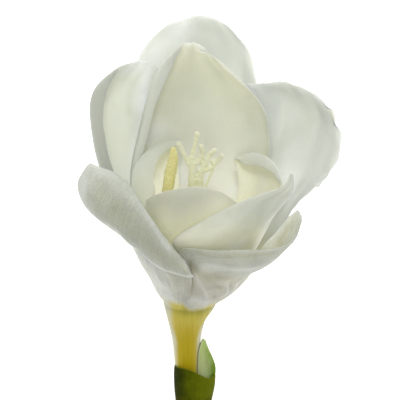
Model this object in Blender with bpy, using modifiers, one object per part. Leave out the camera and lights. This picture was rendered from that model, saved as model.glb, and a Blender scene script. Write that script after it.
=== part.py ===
"""Freesia flower, cut and laid on its back on a table. Metres, +Z up.

Sizes are written in millimetres and scaled at the end. The flower's length runs along +Y, its open
side faces +Z, and the table is z = 0. A petal is a smooth surface through a few ribs: the first
ribs wrap round the flower's throat, and the others follow the blade from its claw to its tip.
"""

import math

import bmesh
import bpy
import numpy as np

MM = 0.001

# the whole flower
ORIGIN_SHIFT = (-1.64, 8.67, 0.0)   # puts the middle of the flower's box at the origin
PETAL_THICKNESS = 0.7
GAP = 0.3                          # kept between pieces that touch
LAYER = PETAL_THICKNESS + GAP      # step from one petal's middle surface to the next one's

# the throat, where the petals leave the tube
THROAT = np.array((-1.9, -20.0, 15.0))
AXIS_TILT = math.radians(28)       # of the tube, up from the table
THROAT_RADIUS = 5.4
FLARE_SHIFT = np.array((1.6, 5.3, 2.8))   # from the throat to the centre of the flared funnel
FLARE_RADIUS = 9.6
HALF_FLARE = 0.42                  # how far up the funnel the petals begin to lie in layers
INNER_SINK = 1.0                   # how deep the inner petals stand in the tube
INNER_FOOT_LAYERS = 1.9            # how far inside the tube's wall their feet stand
OUTER_LIFT = GAP + 0.05            # from the tube's rim to the feet of the outer petals

ALONG = np.array((0.0, math.cos(AXIS_TILT), math.sin(AXIS_TILT)))
BACK = np.array((0.0, math.sin(AXIS_TILT), -math.cos(AXIS_TILT)))
RIGHT = np.array((1.0, 0.0, 0.0))


def wipe_scene():
    for obj in list(bpy.data.objects):
        bpy.data.objects.remove(obj, do_unlink=True)


def new_collection(name):
    collection = bpy.data.collections.new(name)
    bpy.context.scene.collection.children.link(collection)
    return collection


def principled(name, colour, roughness):
    material = bpy.data.materials.new(name)
    material.use_nodes = True
    shader = material.node_tree.nodes["Principled BSDF"]
    shader.inputs["Base Color"].default_value = (*colour, 1.0)
    shader.inputs["Roughness"].default_value = roughness
    return material


def spline_weights(knots, samples):
    """Rows of weights that read a natural cubic through the knots at evenly spaced samples."""
    knots = np.asarray(knots, float)
    count = len(knots)
    step = np.diff(knots)
    left = np.eye(count)
    right = np.zeros((count, count))
    for i in range(1, count - 1):
        left[i, i - 1:i + 2] = step[i - 1], 2 * (step[i - 1] + step[i]), step[i]
        right[i, i - 1:i + 2] = 6 / step[i - 1], -6 / step[i - 1] - 6 / step[i], 6 / step[i]
    bend = np.linalg.solve(left, right)
    at = np.linspace(knots[0], knots[-1], samples)
    i = np.clip(np.searchsorted(knots, at, side="right") - 1, 0, count - 2)
    h = step[i][:, None]
    before = ((knots[i + 1] - at) / step[i])[:, None]
    after = 1 - before
    straight = before * np.eye(count)[i] + after * np.eye(count)[i + 1]
    curved = (before ** 3 - before) * bend[i] + (after ** 3 - after) * bend[i + 1]
    return straight + curved * h ** 2 / 6


def smooth_grid(ribs, rows, columns):
    """Points of the surface through the ribs, as rows x columns x 3."""
    net = np.array(ribs, float)
    hops = np.linalg.norm(np.diff(net, axis=0), axis=2).mean(axis=1)
    along = spline_weights(np.concatenate([[0], np.cumsum(hops)]), rows)
    across = spline_weights(np.arange(net.shape[1]), columns)
    return np.einsum("ri,ijk,cj->rck", along, net, across)


def smooth_path(points, samples):
    points = np.array(points, float)
    hops = np.linalg.norm(np.diff(points[:, :3], axis=0), axis=1)
    return spline_weights(np.concatenate([[0], np.cumsum(hops)]), samples) @ points


def arc_rib(centre, radius, angles, count):
    """A rib wrapped round the tube's axis: angles from the right, by way of the back."""
    turn = np.radians(np.linspace(*angles, count))[:, None]
    reach = np.linspace(*radius, count)[:, None]
    return centre + reach * (np.cos(turn) * RIGHT + np.sin(turn) * BACK)


def grid_mesh(name, grid, wrap=False):
    rows, columns = grid.shape[:2]
    index = np.arange(rows * columns).reshape(rows, columns)
    if wrap:
        index = np.concatenate([index, index[:, :1]], axis=1)
    quads = np.stack([index[:-1, :-1], index[:-1, 1:], index[1:, 1:], index[1:, :-1]], -1)
    mesh = bpy.data.meshes.new(name)
    points = (grid.reshape(-1, 3) + ORIGIN_SHIFT) * MM
    mesh.from_pydata(points.tolist(), [], quads.reshape(-1, 4).tolist())
    mesh.shade_smooth()
    return mesh


def shell(name, grid, thickness, material, collection, wrap=False):
    """An open surface made solid: split into triangles first, so both faces are split alike."""
    obj = bpy.data.objects.new(name, grid_mesh(name, grid, wrap))
    obj.data.materials.append(material)
    collection.objects.link(obj)
    split = obj.modifiers.new("Triangulate", "TRIANGULATE")
    split.quad_method = "FIXED"
    solidify = obj.modifiers.new("Solidify", "SOLIDIFY")
    solidify.thickness = thickness * MM
    solidify.offset = 0
    return obj


def stalk(name, points, rings, material, collection):
    """A round stalk through (x, y, z, radius) points, as a curve with a bevel and filled caps."""
    curve = bpy.data.curves.new(name, "CURVE")
    curve.dimensions = "3D"
    curve.bevel_depth = MM         # so a point's radius is its size in millimetres
    curve.bevel_resolution = 2
    curve.use_fill_caps = True
    spline = curve.splines.new("POLY")
    spline.points.add(rings - 1)
    for point, (*place, radius) in zip(spline.points, smooth_path(points, rings)):
        point.co = (*((np.array(place) + ORIGIN_SHIFT) * MM), 1.0)
        point.radius = radius
    spline.use_smooth = True
    obj = bpy.data.objects.new(name, curve)
    obj.data.materials.append(material)
    collection.objects.link(obj)
    return obj


def as_mesh(obj):
    """Replaces a curve object by its mesh, with the caps welded on."""
    name = obj.name
    graph = bpy.context.evaluated_depsgraph_get()
    mesh = bpy.data.meshes.new_from_object(obj.evaluated_get(graph))
    bm = bmesh.new()
    bm.from_mesh(mesh)
    bmesh.ops.remove_doubles(bm, verts=bm.verts, dist=1e-6)
    bmesh.ops.recalc_face_normals(bm, faces=bm.faces)
    bm.to_mesh(mesh)
    bm.free()
    made = bpy.data.objects.new(name, mesh)
    made.matrix_world = obj.matrix_world.copy()
    for collection in obj.users_collection:
        collection.objects.link(made)
    bpy.data.objects.remove(obj, do_unlink=True)
    made.name = name
    return made


# Each petal: the angles of its two margins at the base and where the funnel flares, how many
# layers inside the funnel each margin lies, its rows and columns of faces, and its upper ribs.
OUTER_PETALS = {
    "petal_back": dict(
        base=(118, 62), flare=(124, 57), layers=(-0.6, -0.7), size=(17, 13),
        ribs=[
            [(-8.5, 1, 4.6), (-4.5, 0, 3.6), (0.5, -0.5, 3.2), (5.5, 0, 3.6), (9.5, 1.5, 4.6)],
            [(-13.5, 14, 3.8), (-7, 12, 1.6), (0.5, 11.5, 0.9), (8, 12.5, 1.6), (12.6, 14, 3.6)],
            [(-13.2, 24, 2.2), (-7.5, 23.5, 0.4), (0.5, 23.5, 0.2), (7, 24, 0.4), (11, 24.4, 2)],
            [(-10.2, 31.6, 1.8), (-5, 32.6, 0.6), (0, 33, 0.4), (4.6, 32.8, 0.6), (8.6, 31.4, 1.6)],
            [(-6.5, 35, 1.6), (-3.5, 36.3, 1.6), (0, 36.8, 1.6), (3.2, 36, 1.6), (5.5, 34.8, 1.6)],
        ]),
    "petal_left": dict(
        base=(175, 121.5), flare=(178, 118), layers=(0.5, 0.5), size=(17, 15),
        ribs=[
            [(-14.5, -1, 19), (-16, -1.5, 17.5), (-15, -2, 13),
             (-11.5, -3, 10.6), (-8, -4, 9.5), (-5, -4.5, 9.1)],
            [(-18.4, 9, 19.5), (-20.8, 9.5, 17), (-19.5, 9, 11.5),
             (-15, 8, 8), (-11, 7, 7), (-7.5, 6.5, 6.8)],
            [(-19.2, 17, 19.5), (-21.8, 17, 17), (-20.5, 16.8, 11.8),
             (-16, 16.5, 8.2), (-11.5, 16, 7), (-7.5, 16, 7)],
            [(-17.6, 23.5, 17.5), (-19.6, 22.6, 16), (-18.3, 22.8, 12.3),
             (-14.5, 23.3, 9.2), (-10.8, 23.6, 8), (-7.6, 23.6, 8)],
            [(-16.2, 26.2, 15.5), (-16.6, 26.4, 14.8), (-14.6, 27.3, 12.5),
             (-12.4, 27.7, 10.8), (-10, 27.6, 9.6), (-7.6, 26.6, 9)],
        ]),
    "petal_right": dict(
        base=(58.5, -8), flare=(61, -9), layers=(0.5, 0.5), size=(27, 13),
        ribs=[
            [(7, -3.5, 9.2), (9.5, -5, 10.2), (12, -5.6, 12), (14.4, -5.8, 14.5), (16.4, -5.7, 17.2)],
            [(10, 6, 7), (13.5, 4.5, 7.5), (17, 3, 9.5), (19, 1.2, 12.5), (20.4, 0.2, 16)],
            [(11, 14, 7.5), (15.5, 13, 7), (20, 11.5, 8.5), (24, 9, 11.5), (26, 5.6, 15.5)],
            [(11, 20.5, 9), (16, 20.5, 8), (20.8, 19.2, 9), (25, 16.6, 11), (28.2, 12.4, 14.5)],
            [(9.4, 23.2, 10.2), (14, 23.8, 10), (18.5, 23.6, 10.5), (22.6, 21.8, 11.5), (25.8, 18.4, 13)],
        ],
        notches=[(0.965, 1.2, 0.03), (0.87, 1.9, 0.028), (0.66, 0.7, 0.03), (0.58, 0.8, 0.03)]),
    "petal_reflexed": dict(
        base=(178.5, 250.5), flare=(174, 256), layers=(-0.5, -0.5), size=(19, 15),
        ribs=[
            [(-15.5, -5, 22), (-13, -8.5, 27), (-10, -11.5, 30), (-6.3, -13.8, 31.6), (-2, -15.6, 31)],
            [(-22.2, 6.6, 32.5), (-16.5, 4.2, 35), (-11.5, -1, 37), (-7, -6.6, 38), (-3.2, -11.4, 37)],
            [(-24.4, 3.5, 30), (-20.8, -1.5, 34.5), (-14, -6, 36), (-8, -10.5, 37), (-1.8, -13.6, 37.4)],
            [(-23.6, -1.2, 26), (-19.6, -5, 29.5), (-13.5, -9.4, 31), (-7, -13.8, 34), (-0.8, -15.2, 36.4)],
        ]),
    "petal_front": dict(
        base=(254, 348.5), flare=(250, 349), layers=(0.5, -0.5), size=(17, 14),
        ribs=[
            [(-3.4, -8.8, 34.6), (0, -13, 33), (4, -16, 30.5), (8.5, -15.5, 26.5), (11.5, -12.5, 23.5)],
            [(3.5, -9.7, 38.5), (7, -13, 37.5), (10.5, -14.2, 34), (13, -12.5, 30.5), (12.6, -9.2, 29.5)],
            [(11, -10, 40.5), (13.4, -11.6, 39), (15.6, -11.1, 36), (16.4, -8.8, 33.8), (15.4, -6.1, 33)],
            [(18, -8.6, 40.6), (18.6, -8, 39), (18.8, -6.6, 37.4), (18.6, -5, 36.4), (17.6, -3.4, 36)],
            [(20.2, -4.2, 39.6), (20.2, -3.6, 39.1), (20.1, -3, 38.7), (19.8, -2.4, 38.4), (19.3, -2, 38.2)],
        ]),
}

INNER_PETALS = {
    # the sixth petal of the flower itself, then the extra ones of a double flower
    "petal_hood": dict(
        base=(138, 42), flare=(138, 42), layers=(1.6, 1.6), size=(17, 16),
        ribs=[
            [(-12.4, 0.5, 18.9), (-13.1, 0.5, 17.3), (-10, -0.5, 11.5),
             (0, -2, 8.8), (9.5, -0.5, 11), (13, 1, 15)],
            [(-11.2, 10, 20.5), (-13, 11, 19), (-10, 9.5, 12),
             (0.5, 8, 8.6), (10, 9.5, 11), (14, 11, 15.5)],
            [(-8.8, 19, 21.5), (-10.8, 19, 20.5), (-7.5, 18, 14),
             (0.8, 17.5, 9.8), (8.5, 18, 11.5), (12.4, 19, 15)],
            [(-5.8, 26.2, 21.2), (-7.6, 26.6, 20.2), (-5, 25.5, 16),
             (-0.5, 25, 12.5), (3.8, 25.5, 13), (6.6, 25.6, 14.8)],
            [(-3.9, 30.4, 19.9), (-3.4, 31.3, 19.1), (-2.4, 31.7, 18.2),
             (-1.2, 31.4, 17.3), (0.2, 30.4, 16.4), (1.4, 29.9, 15.8)],
        ]),
    "inner_petal_left": dict(
        base=(187.5, 142.5), flare=(185, 138), layers=(2.8, 2.8), size=(14, 11),
        ribs=[
            [(-9.8, -4, 22), (-8.8, -3.5, 18.8), (-7.6, -2.8, 16), (-6, -2.2, 14), (-4.2, -2, 12.6)],
            [(-11, 3, 23), (-10.2, 5, 20.7), (-8.8, 7.5, 17.7), (-6.8, 9, 15.5), (-4.4, 9.6, 13.8)],
            [(-12.4, 3.6, 25), (-12, 7.4, 23.5), (-10, 10.2, 21), (-7, 11.8, 18.5), (-4, 12, 16)],
            [(-9.4, 1.2, 26), (-9.2, 4.5, 25.5), (-8.6, 7.6, 23.5), (-6.6, 9.8, 20.5), (-4, 11, 17.5)],
        ]),
    "inner_petal_front": dict(
        base=(192.5, 241), flare=(190, 245), layers=(2.8, 2.8), size=(12, 12),
        ribs=[
            [(-11, -8, 25), (-8.5, -10, 28), (-5, -11, 29), (-1, -11, 28.6), (2.5, -11, 27.3)],
            [(-11.5, -3.5, 28), (-8, -4.5, 32), (-2.5, -5, 32.6), (3, -5.5, 31.6), (7.5, -6, 29.2)],
            [(-10.5, 0.2, 30), (-6.5, 1.8, 33), (-1, 2.7, 33.5), (4, 1.7, 32), (8, -1, 29)],
        ]),
    "inner_petal_pointed": dict(
        base=(246, 317.5), flare=(241, 322), layers=(1.6, 1.6), size=(15, 11),
        ribs=[
            [(-4.6, -10.5, 30.6), (-0.5, -12, 31), (4, -12.5, 30), (8, -12, 28), (10.4, -11, 25.5)],
            [(-5, -7.6, 33.2), (0, -7.6, 35.6), (5.5, -7.6, 35.4), (10, -7.4, 32.4), (12.6, -7.2, 28.6)],
            [(5, -1.7, 35.6), (8.2, -2.2, 36.2), (11.2, -2.9, 35.2), (13, -3.5, 32.8), (14.4, -3.8, 29.8)],
            [(12, 2.2, 36.2), (13.6, 1.6, 35.8), (15, 0.9, 34.9), (16.2, 0.3, 33.4), (17, -0.2, 31.8)],
            [(17.7, 5.2, 35.4), (18.05, 5.1, 35.2), (18.4, 4.8, 34.9), (18.65, 4.4, 34.6), (18.8, 3.9, 34.2)],
        ]),
    "inner_petal_right": dict(
        base=(37.5, -38), flare=(38, -34), layers=(2.8, 2.8), size=(14, 11),
        ribs=[
            [(6.8, -2.5, 13.5), (9.3, -2, 14.5), (11.6, -2.2, 17), (13, -3, 20.5), (13.2, -4.5, 24)],
            [(7.6, 4.5, 15), (10.6, 5.5, 15.8), (13.2, 4.6, 18.5), (15, 2.8, 22), (15.8, 0.4, 26)],
            [(6.8, 8.6, 17), (9.8, 9.8, 18.5), (13, 8.9, 21), (15.8, 6.6, 24), (17, 3, 27.5)],
            [(7.6, 7.2, 18.5), (10.2, 7.8, 20.5), (12.8, 7, 23), (15, 4.8, 25.5), (16.2, 1.8, 28.2)],
        ]),
}

# the tube and the pieces on the stem: middle line (x, y, z) and radius of the middle surface
TUBE_WALL = 0.7
TUBE_RINGS, TUBE_SIDES = 12, 24
BRACT_RIB_POINTS = 7
TUBE = [
    (-1.9, -20, 15, 5.4), (-2.4, -22, 13.9, 4.35), (-2.6, -24, 12.9, 3.5), (-2.4, -28, 10.8, 2.85),
    (-2.3, -33, 8.2, 2.15), (-2.1, -38, 6.0, 1.85),
]
BRACT_THICKNESS = 0.6
BRACT_BASE = (-1.4, -45.4, 3.5)
OUTER_BRACT = dict(
    # middle point, radius, angles of the two margins
    ribs=[
        (BRACT_BASE, 1.9, (66, 294)),
        ((-1.5, -43, 4.1), 2.7, (64, 296)),
        ((-1.8, -40, 5.1), 3.1, (56, 304)),
        ((-2.1, -36.6, 6.6), 3.1, (52, 308)),
        ((-2.3, -33.2, 8.1), 2.9, (64, 290)),
    ], slant=2.0, size=(10, 19))
INNER_BRACT = dict(
    ribs=[
        (BRACT_BASE, 1.9, (56, -56)),
        ((-1.1, -43, 4.1), 2.9, (58, -58)),
        ((-0.8, -40, 5.1), 3.7, (66, -76)),
        ((-0.7, -36.6, 6.6), 3.7, (60, -78)),
        ((-1.0, -33.4, 8.1), 3.7, (44, -64)),
        ((-1.5, -30.6, 9.5), 3.5, (26, -46)),
        ((-2.0, -28.2, 10.7), 3.3, (4, -20)),
    ], slant=0, size=(14, 11))
OVARY = [
    (-2.1, -38.1, 5.9, 0.8), (-2.0, -38.9, 5.5, 1.6), (-1.85, -40.3, 4.95, 2.1),
    (-1.6, -42.2, 4.3, 1.8), (-1.5, -43.7, 3.9, 0.9),
]
STEM = [
    (-1.45, -44.1, 3.75, 1.15), (-1.4, -47, 3.0, 1.25), (-1.2, -50.5, 2.0, 1.3), (-1.0, -54, 1.3, 1.4),
]

# the parts in the throat: (x, y, z, radius)
STYLE_COLUMN = [(-2.1, -37.5, 6.3, 0.45), (-2.0, -20, 15, 0.5), (-1.0, 2, 25.5, 0.6), (-1.0, 7, 28, 0.75)]
STYLE_BRANCHES = [
    [(-1.2, 6.2, 27.6, 0.45), (-2.6, 9, 29, 0.45), (-3.3, 10.6, 29.8, 0.45), (-4.1, 11.4, 30.3, 0.55)],
    [(-1.0, 6.5, 27.8, 0.5), (-1.2, 9.6, 28.8, 0.45), (-0.9, 12.0, 29.6, 0.45), (-0.5, 13.8, 30.2, 0.7)],
    [(-0.9, 6.4, 27.8, 0.45), (0.4, 8.6, 29.4, 0.42), (0.5, 10.2, 30.4, 0.4), (0, 11.4, 31.0, 0.45)],
    [(-0.7, 6.0, 27.4, 0.5), (1.2, 7.0, 27.8, 0.5), (2.6, 9, 28.3, 0.45), (4.1, 10.2, 28.8, 0.6)],
    [(1.6, 6.8, 27.7, 0.4), (3, 7.4, 28.3, 0.42), (4.2, 8.4, 29.2, 0.42), (5.3, 9.3, 30, 0.5)],
]
STAMENS = {
    "stamen_left": [
        (-5.0, -24, 13, 0.3), (-4.5, -20, 15.2, 0.3), (-4.6, -12, 19.3, 0.3), (-5.2, -4, 23, 0.3),
        (-5.5, 0.6, 25, 0.35), (-5.9, 2.4, 25.8, 0.85), (-6.2, 5, 26.9, 1.0), (-5.9, 8, 28.1, 0.9),
        (-5.5, 10.4, 29, 0.4),
    ],
    "stamen_right": [
        (-0.7, -23.4, 11.4, 0.3), (1, -18, 14.3, 0.3), (2.6, -12, 17, 0.3), (3.0, -10, 18, 0.4),
        (3.3, -8.4, 18.8, 0.9), (3.8, -6, 20.1, 1.0), (4.4, -3.4, 21.5, 0.9), (4.9, -1.4, 22.5, 0.4),
    ],
    "stamen_front": [
        (-1.9, -24.8, 15, 0.3), (-1.2, -20, 17.8, 0.3), (0, -14, 21.2, 0.3), (0.3, -12.4, 22.1, 0.4),
        (0.5, -10.8, 22.9, 0.9), (0.8, -8.2, 24.4, 1.0), (1.1, -5.4, 25.9, 0.9), (1.3, -3.4, 27, 0.4),
    ],
}


def cut_notches(grid, notches):
    """Draws the last margin back where it is notched: (place along the petal, depth, width)."""
    at = np.linspace(0, 1, grid.shape[0])
    depth = sum(deep * np.exp(-((at - place) / width) ** 2) for place, deep, width in notches)
    inward = grid[:, -3] - grid[:, -1]
    inward = inward / np.linalg.norm(inward, axis=1, keepdims=True)
    for column, share in ((-1, 1.0), (-2, 0.45)):
        grid[:, column] += inward * (depth * share)[:, None]
    return grid


def petal_ribs(spec, inner):
    """The three ribs round the throat, then the blade's own."""
    count = len(spec["ribs"][0])
    layers = np.array(spec["layers"])
    half_radius = THROAT_RADIUS + (FLARE_RADIUS - THROAT_RADIUS) * HALF_FLARE
    if inner:
        foot = THROAT - INNER_SINK * ALONG
        foot_radius = THROAT_RADIUS - INNER_FOOT_LAYERS * LAYER
    else:
        foot = THROAT + OUTER_LIFT * ALONG
        foot_radius = THROAT_RADIUS
    return [
        arc_rib(foot, (foot_radius, foot_radius), spec["base"], count),
        arc_rib(THROAT + FLARE_SHIFT * HALF_FLARE, half_radius - LAYER * layers, spec["base"], count),
        arc_rib(THROAT + FLARE_SHIFT, FLARE_RADIUS - LAYER * layers, spec["flare"], count),
        *spec["ribs"],
    ]


def make_petals(specs, inner, material, collection):
    for name, spec in specs.items():
        grid = smooth_grid(petal_ribs(spec, inner), *spec["size"])
        if "notches" in spec:
            grid = cut_notches(grid, spec["notches"])
        shell(name, grid, PETAL_THICKNESS, material, collection)


def make_tube(material, collection):
    turn = (0, 360 - 360 / TUBE_SIDES)
    ribs = [
        arc_rib(centre, (radius, radius), turn, TUBE_SIDES)
        for *centre, radius in smooth_path(TUBE, TUBE_RINGS)
    ]
    shell("perianth_tube", np.array(ribs), TUBE_WALL, material, collection, wrap=True)


def make_bract(name, spec, material, collection):
    ribs = []
    for number, (centre, radius, angles) in enumerate(spec["ribs"]):
        rib = arc_rib(centre, (radius, radius), angles, BRACT_RIB_POINTS)
        if number == len(spec["ribs"]) - 1:
            # the mouth is cut aslant, lower on the right
            rib -= spec["slant"] * (rib[:, :1] - rib[:, 0].min()) / (2 * radius) * ALONG
        ribs.append(rib)
    shell(name, smooth_grid(ribs, *spec["size"]), BRACT_THICKNESS, material, collection)


def make_style(material, collection):
    """The column and its branches, joined in one body."""
    column = as_mesh(stalk("style", STYLE_COLUMN, 12, material, collection))
    branches = new_collection("style_branches")
    for number, points in enumerate(STYLE_BRANCHES):
        as_mesh(stalk(f"style_branch_{number}", points, 7, material, branches))
    union = column.modifiers.new("Union", "BOOLEAN")
    union.operation = "UNION"
    union.operand_type = "COLLECTION"
    union.collection = branches
    with bpy.context.temp_override(object=column):
        bpy.ops.object.modifier_apply(modifier=union.name)
    for obj in list(branches.objects):
        bpy.data.objects.remove(obj, do_unlink=True)
    bpy.data.collections.remove(branches)


def rest_on_table(obj, table):
    """Flattens what would reach below the table, where the piece lies on it."""
    cut = obj.modifiers.new("Table", "BOOLEAN")
    cut.operation = "DIFFERENCE"
    cut.object = table


def make_table(collection):
    bpy.ops.mesh.primitive_cube_add(size=1, location=(0, 0, -0.01))
    table = bpy.context.object
    table.name = "table_cutter"
    table.scale = (0.2, 0.2, 0.02)
    for other in table.users_collection:
        other.objects.unlink(table)
    collection.objects.link(table)
    table.hide_render = True
    table.display_type = "WIRE"
    return table


def build():
    wipe_scene()
    flower = new_collection("freesia_flower")
    cutters = new_collection("cutters")
    white = principled("petal_white", (0.62, 0.66, 0.56), 0.6)
    inner_white = principled("inner_petal_white", (0.62, 0.64, 0.48), 0.6)
    yellow = principled("tube_yellow", (0.40, 0.33, 0.05), 0.55)
    cream = principled("style_cream", (0.66, 0.66, 0.45), 0.6)
    pollen = principled("anther_yellow", (0.60, 0.55, 0.22), 0.8)
    green = principled("bract_green", (0.05, 0.07, 0.005), 0.5)
    make_petals(OUTER_PETALS, False, white, flower)
    make_petals(INNER_PETALS, True, inner_white, flower)
    make_tube(yellow, flower)
    make_bract("bract_outer", OUTER_BRACT, green, flower)
    make_bract("bract_inner", INNER_BRACT, green, flower)
    stalk("ovary", OVARY, 9, green, flower)
    stem = as_mesh(stalk("stem", STEM, 9, green, flower))
    table = make_table(cutters)
    rest_on_table(bpy.data.objects["petal_back"], table)
    rest_on_table(stem, table)
    make_style(cream, flower)
    for name, points in STAMENS.items():
        stalk(name, points, 18, pollen, flower)


build()
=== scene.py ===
import math

import bpy
import numpy as np
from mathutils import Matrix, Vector


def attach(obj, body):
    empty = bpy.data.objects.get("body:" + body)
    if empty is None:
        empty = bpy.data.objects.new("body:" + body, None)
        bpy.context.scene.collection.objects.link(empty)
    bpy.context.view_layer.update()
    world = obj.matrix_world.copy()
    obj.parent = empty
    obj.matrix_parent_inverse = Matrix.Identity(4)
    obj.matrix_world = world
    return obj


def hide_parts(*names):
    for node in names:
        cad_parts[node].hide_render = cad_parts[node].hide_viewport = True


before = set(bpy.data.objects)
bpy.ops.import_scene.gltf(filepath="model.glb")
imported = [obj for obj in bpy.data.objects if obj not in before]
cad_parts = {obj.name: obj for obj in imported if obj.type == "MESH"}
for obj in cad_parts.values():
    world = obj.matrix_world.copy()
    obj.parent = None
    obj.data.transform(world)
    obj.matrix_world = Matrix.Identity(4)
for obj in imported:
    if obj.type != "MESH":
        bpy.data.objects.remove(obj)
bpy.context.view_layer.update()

# Sizes are in millimetres, in a drawing whose zero point is the middle of the picture.
# The flower's length runs along +Y, its open side faces +Z, and the table is z = 0.
mm = 0.001
drawingShift = np.array((-1.64, 8.67, 0.0))       # from the drawing's zero point to the flower's origin
marginSpan = 4.0                                  # the materials know a margin's distance this far in

# The throat is where the petals leave the tube. Its funnel flares upward, and the petals lie
# round it in layers.
throat = dict(
    centre=np.array((-1.9, -20.0, 15.0)),
    tilt=math.radians(28),                        # of the tube, up from the table
    radius=5.4,
    flareShift=np.array((1.6, 5.3, 2.8)),
    flareRadius=9.6,
    halfFlare=0.42,
    innerSink=1.0,                                # an inner petal's foot, down the tube
    innerFootInset=1.9,                           # and inward from the throat's radius
    outerFootRise=0.35,                           # of an outer petal's, up the tube
    collars=(((-2.62, -24.4, 12.66), 3.25), ((-2.3, -22.0, 13.94), 4.42)),    # its centres and radii below
)
alongTube = np.array((0.0, math.cos(throat["tilt"]), math.sin(throat["tilt"])))
backOfTube = np.array((0.0, math.sin(throat["tilt"]), -math.cos(throat["tilt"])))
rightOfTube = np.array((1.0, 0.0, 0.0))


def splineWeights(knots, at):
    # Natural cubic: each row of weights turns the values at the knots into the value at one place.
    # The curve's second derivative is zero at both ends and joins smoothly at each knot.
    knots = np.asarray(knots, float)
    count = len(knots)
    step = np.diff(knots)
    left, right = np.eye(count), np.zeros((count, count))
    for i in range(1, count - 1):
        left[i, i - 1:i + 2] = step[i - 1], 2 * (step[i - 1] + step[i]), step[i]
        right[i, i - 1:i + 2] = 6 / step[i - 1], -6 / step[i - 1] - 6 / step[i], 6 / step[i]
    bend = np.linalg.solve(left, right)
    i = np.clip(np.searchsorted(knots, at, side="right") - 1, 0, count - 2)
    h = step[i][:, None]
    before = ((knots[i + 1] - at) / step[i])[:, None]
    after = 1 - before
    straight = before * np.eye(count)[i] + after * np.eye(count)[i + 1]
    curved = (before ** 3 - before) * bend[i] + (after ** 3 - after) * bend[i + 1]
    return straight + curved * h ** 2 / 6


def runningTotal(steps):
    # The sum of the steps up to each knot, from 0 on.
    return np.concatenate([[0], np.cumsum(steps)])


def smoothStep(x):
    # Three times the square less twice the cube, of x kept from 0 to 1.
    x = np.clip(x, 0, 1)
    return x * x * (3 - 2 * x)


def softNoise(x, y, seed, waves=7):
    # A sum of cosines in seeded directions, about -1 to 1: smooth, and the same on every run.
    rng = np.random.default_rng(seed)
    total = np.zeros(np.broadcast(x, y).shape)
    for _ in range(waves):
        angle, phase = rng.uniform(0, 2 * math.pi, 2)
        pitch = rng.uniform(0.6, 1.6)
        total += np.cos(2 * math.pi * pitch * (x * math.cos(angle) + y * math.sin(angle)) + phase)
    return total / math.sqrt(waves)


def arcRib(centre, radii, angles, count):
    # A rib wrapped round the tube's axis: the angles start at the right and go by way of the back.
    turn = np.radians(np.linspace(*angles, count))[:, None]
    reach = np.linspace(*radii, count)[:, None]
    return np.asarray(centre) + reach * (np.cos(turn) * rightOfTube + np.sin(turn) * backOfTube)


def petalRibs(look):
    # The ribs round the throat come first, then the blade's own, from its claw to its tip.
    count, base, inside = len(look["ribs"][0]), look["base"], np.array(look["inside"])
    centre, radius, shift = throat["centre"], throat["radius"], throat["flareShift"]
    half = radius + (throat["flareRadius"] - radius) * throat["halfFlare"]
    halfRib = arcRib(centre + shift * throat["halfFlare"], half - inside, base, count)
    flareRib = arcRib(centre + shift, throat["flareRadius"] - inside, look["flare"], count)
    if look["inner"]:
        feet, lap = [(centre - throat["innerSink"] * alongTube, radius - throat["innerFootInset"])], 0
    else:
        # An outer petal's foot runs down just inside the tube's wall.
        feet, lap = [*throat["collars"], (centre + throat["outerFootRise"] * alongTube, radius)], look["lap"]
    footRibs = [arcRib(foot, (reach + lap, reach + lap), base, count) for foot, reach in feet]
    return [*footRibs, halfRib, flareRib, *look["ribs"]]


def surfaceOver(net, u, v):
    # A point is the mean of the ribs' points, weighted along the surface by v and across it by u.
    net = np.array(net, float)
    knots = runningTotal(np.linalg.norm(np.diff(net, axis=0), axis=2).mean(axis=1))
    rows = splineWeights(knots, v.ravel() * knots[-1])
    columns = splineWeights(np.arange(net.shape[1]), u.ravel() * (net.shape[1] - 1))
    return np.einsum("ni,ijk,nj->nk", rows, net, columns, optimize=True).reshape(*u.shape, 3)


def surfaceNormal(points):
    # The cross product of the steps across and along the grid, made one unit long.
    normal = np.cross(np.gradient(points, axis=1), np.gradient(points, axis=0))
    return normal / np.maximum(np.linalg.norm(normal, axis=2, keepdims=True), 1e-9)


def spans(points):
    # The surface's width at each row, and its length along its middle: its steps, added up.
    widths, lengths = (np.linalg.norm(np.diff(points, axis=way), axis=2).sum(axis=way) for way in (1, 0))
    return widths, lengths[len(lengths) // 2]


def bitten(u, v, at, depth, width, reach):
    # Draws the margin at u = 1 back by a bell-shaped depth. The surface stays, its outline moves.
    return u - depth * np.exp(-((v - at) / width) ** 2) * smoothStep((u - 1 + reach) / reach)


def frayed(u, v, look):
    # Small seeded waves along the two side margins and the tip.
    amount, reach, sideWaves, tipWaves = look["fray"], 0.1, 9, 7
    first, last = (softNoise(v * sideWaves, 3 * k, look["seed"] + k) for k in (0, 1))
    u = u + amount * first * smoothStep(1 - u / reach)
    u = u - amount * last * smoothStep((u - 1 + reach) / reach)
    tip = softNoise(u * tipWaves, 5, look["seed"] + 2)
    return u, v - amount * tip * smoothStep((v - 1 + reach) / reach)


def ridge(u, v, size, height, width, path, fade=None, dot=0.01):
    # Bell-shaped over the distance to a bent line's nearest piece. With a fade, it dies away over
    # those shares of the line at its two ends. A path of one place is a dot.
    x, y = u * size[0], v * size[1]
    corners = np.array(path, float) * size
    if len(corners) == 1:
        corners = np.concatenate([corners - dot, corners + dot])
    run = runningTotal(np.hypot(*np.diff(corners, axis=0).T))
    nearest, share = np.full(u.shape, np.inf), np.zeros(u.shape)
    for i in range(len(corners) - 1):
        start, line = corners[i], corners[i + 1] - corners[i]
        along = np.clip(((x - start[0]) * line[0] + (y - start[1]) * line[1]) / (line @ line), 0, 1)
        gap = np.hypot(x - start[0] - along * line[0], y - start[1] - along * line[1])
        share = np.where(gap < nearest, (run[i] + along * (run[i + 1] - run[i])) / run[-1], share)
        nearest = np.minimum(gap, nearest)
    ends = smoothStep(share / fade[0]) * smoothStep((1 - share) / fade[1]) if fade else 1.0
    return height * ends * np.exp(-(nearest / width) ** 2)


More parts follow.
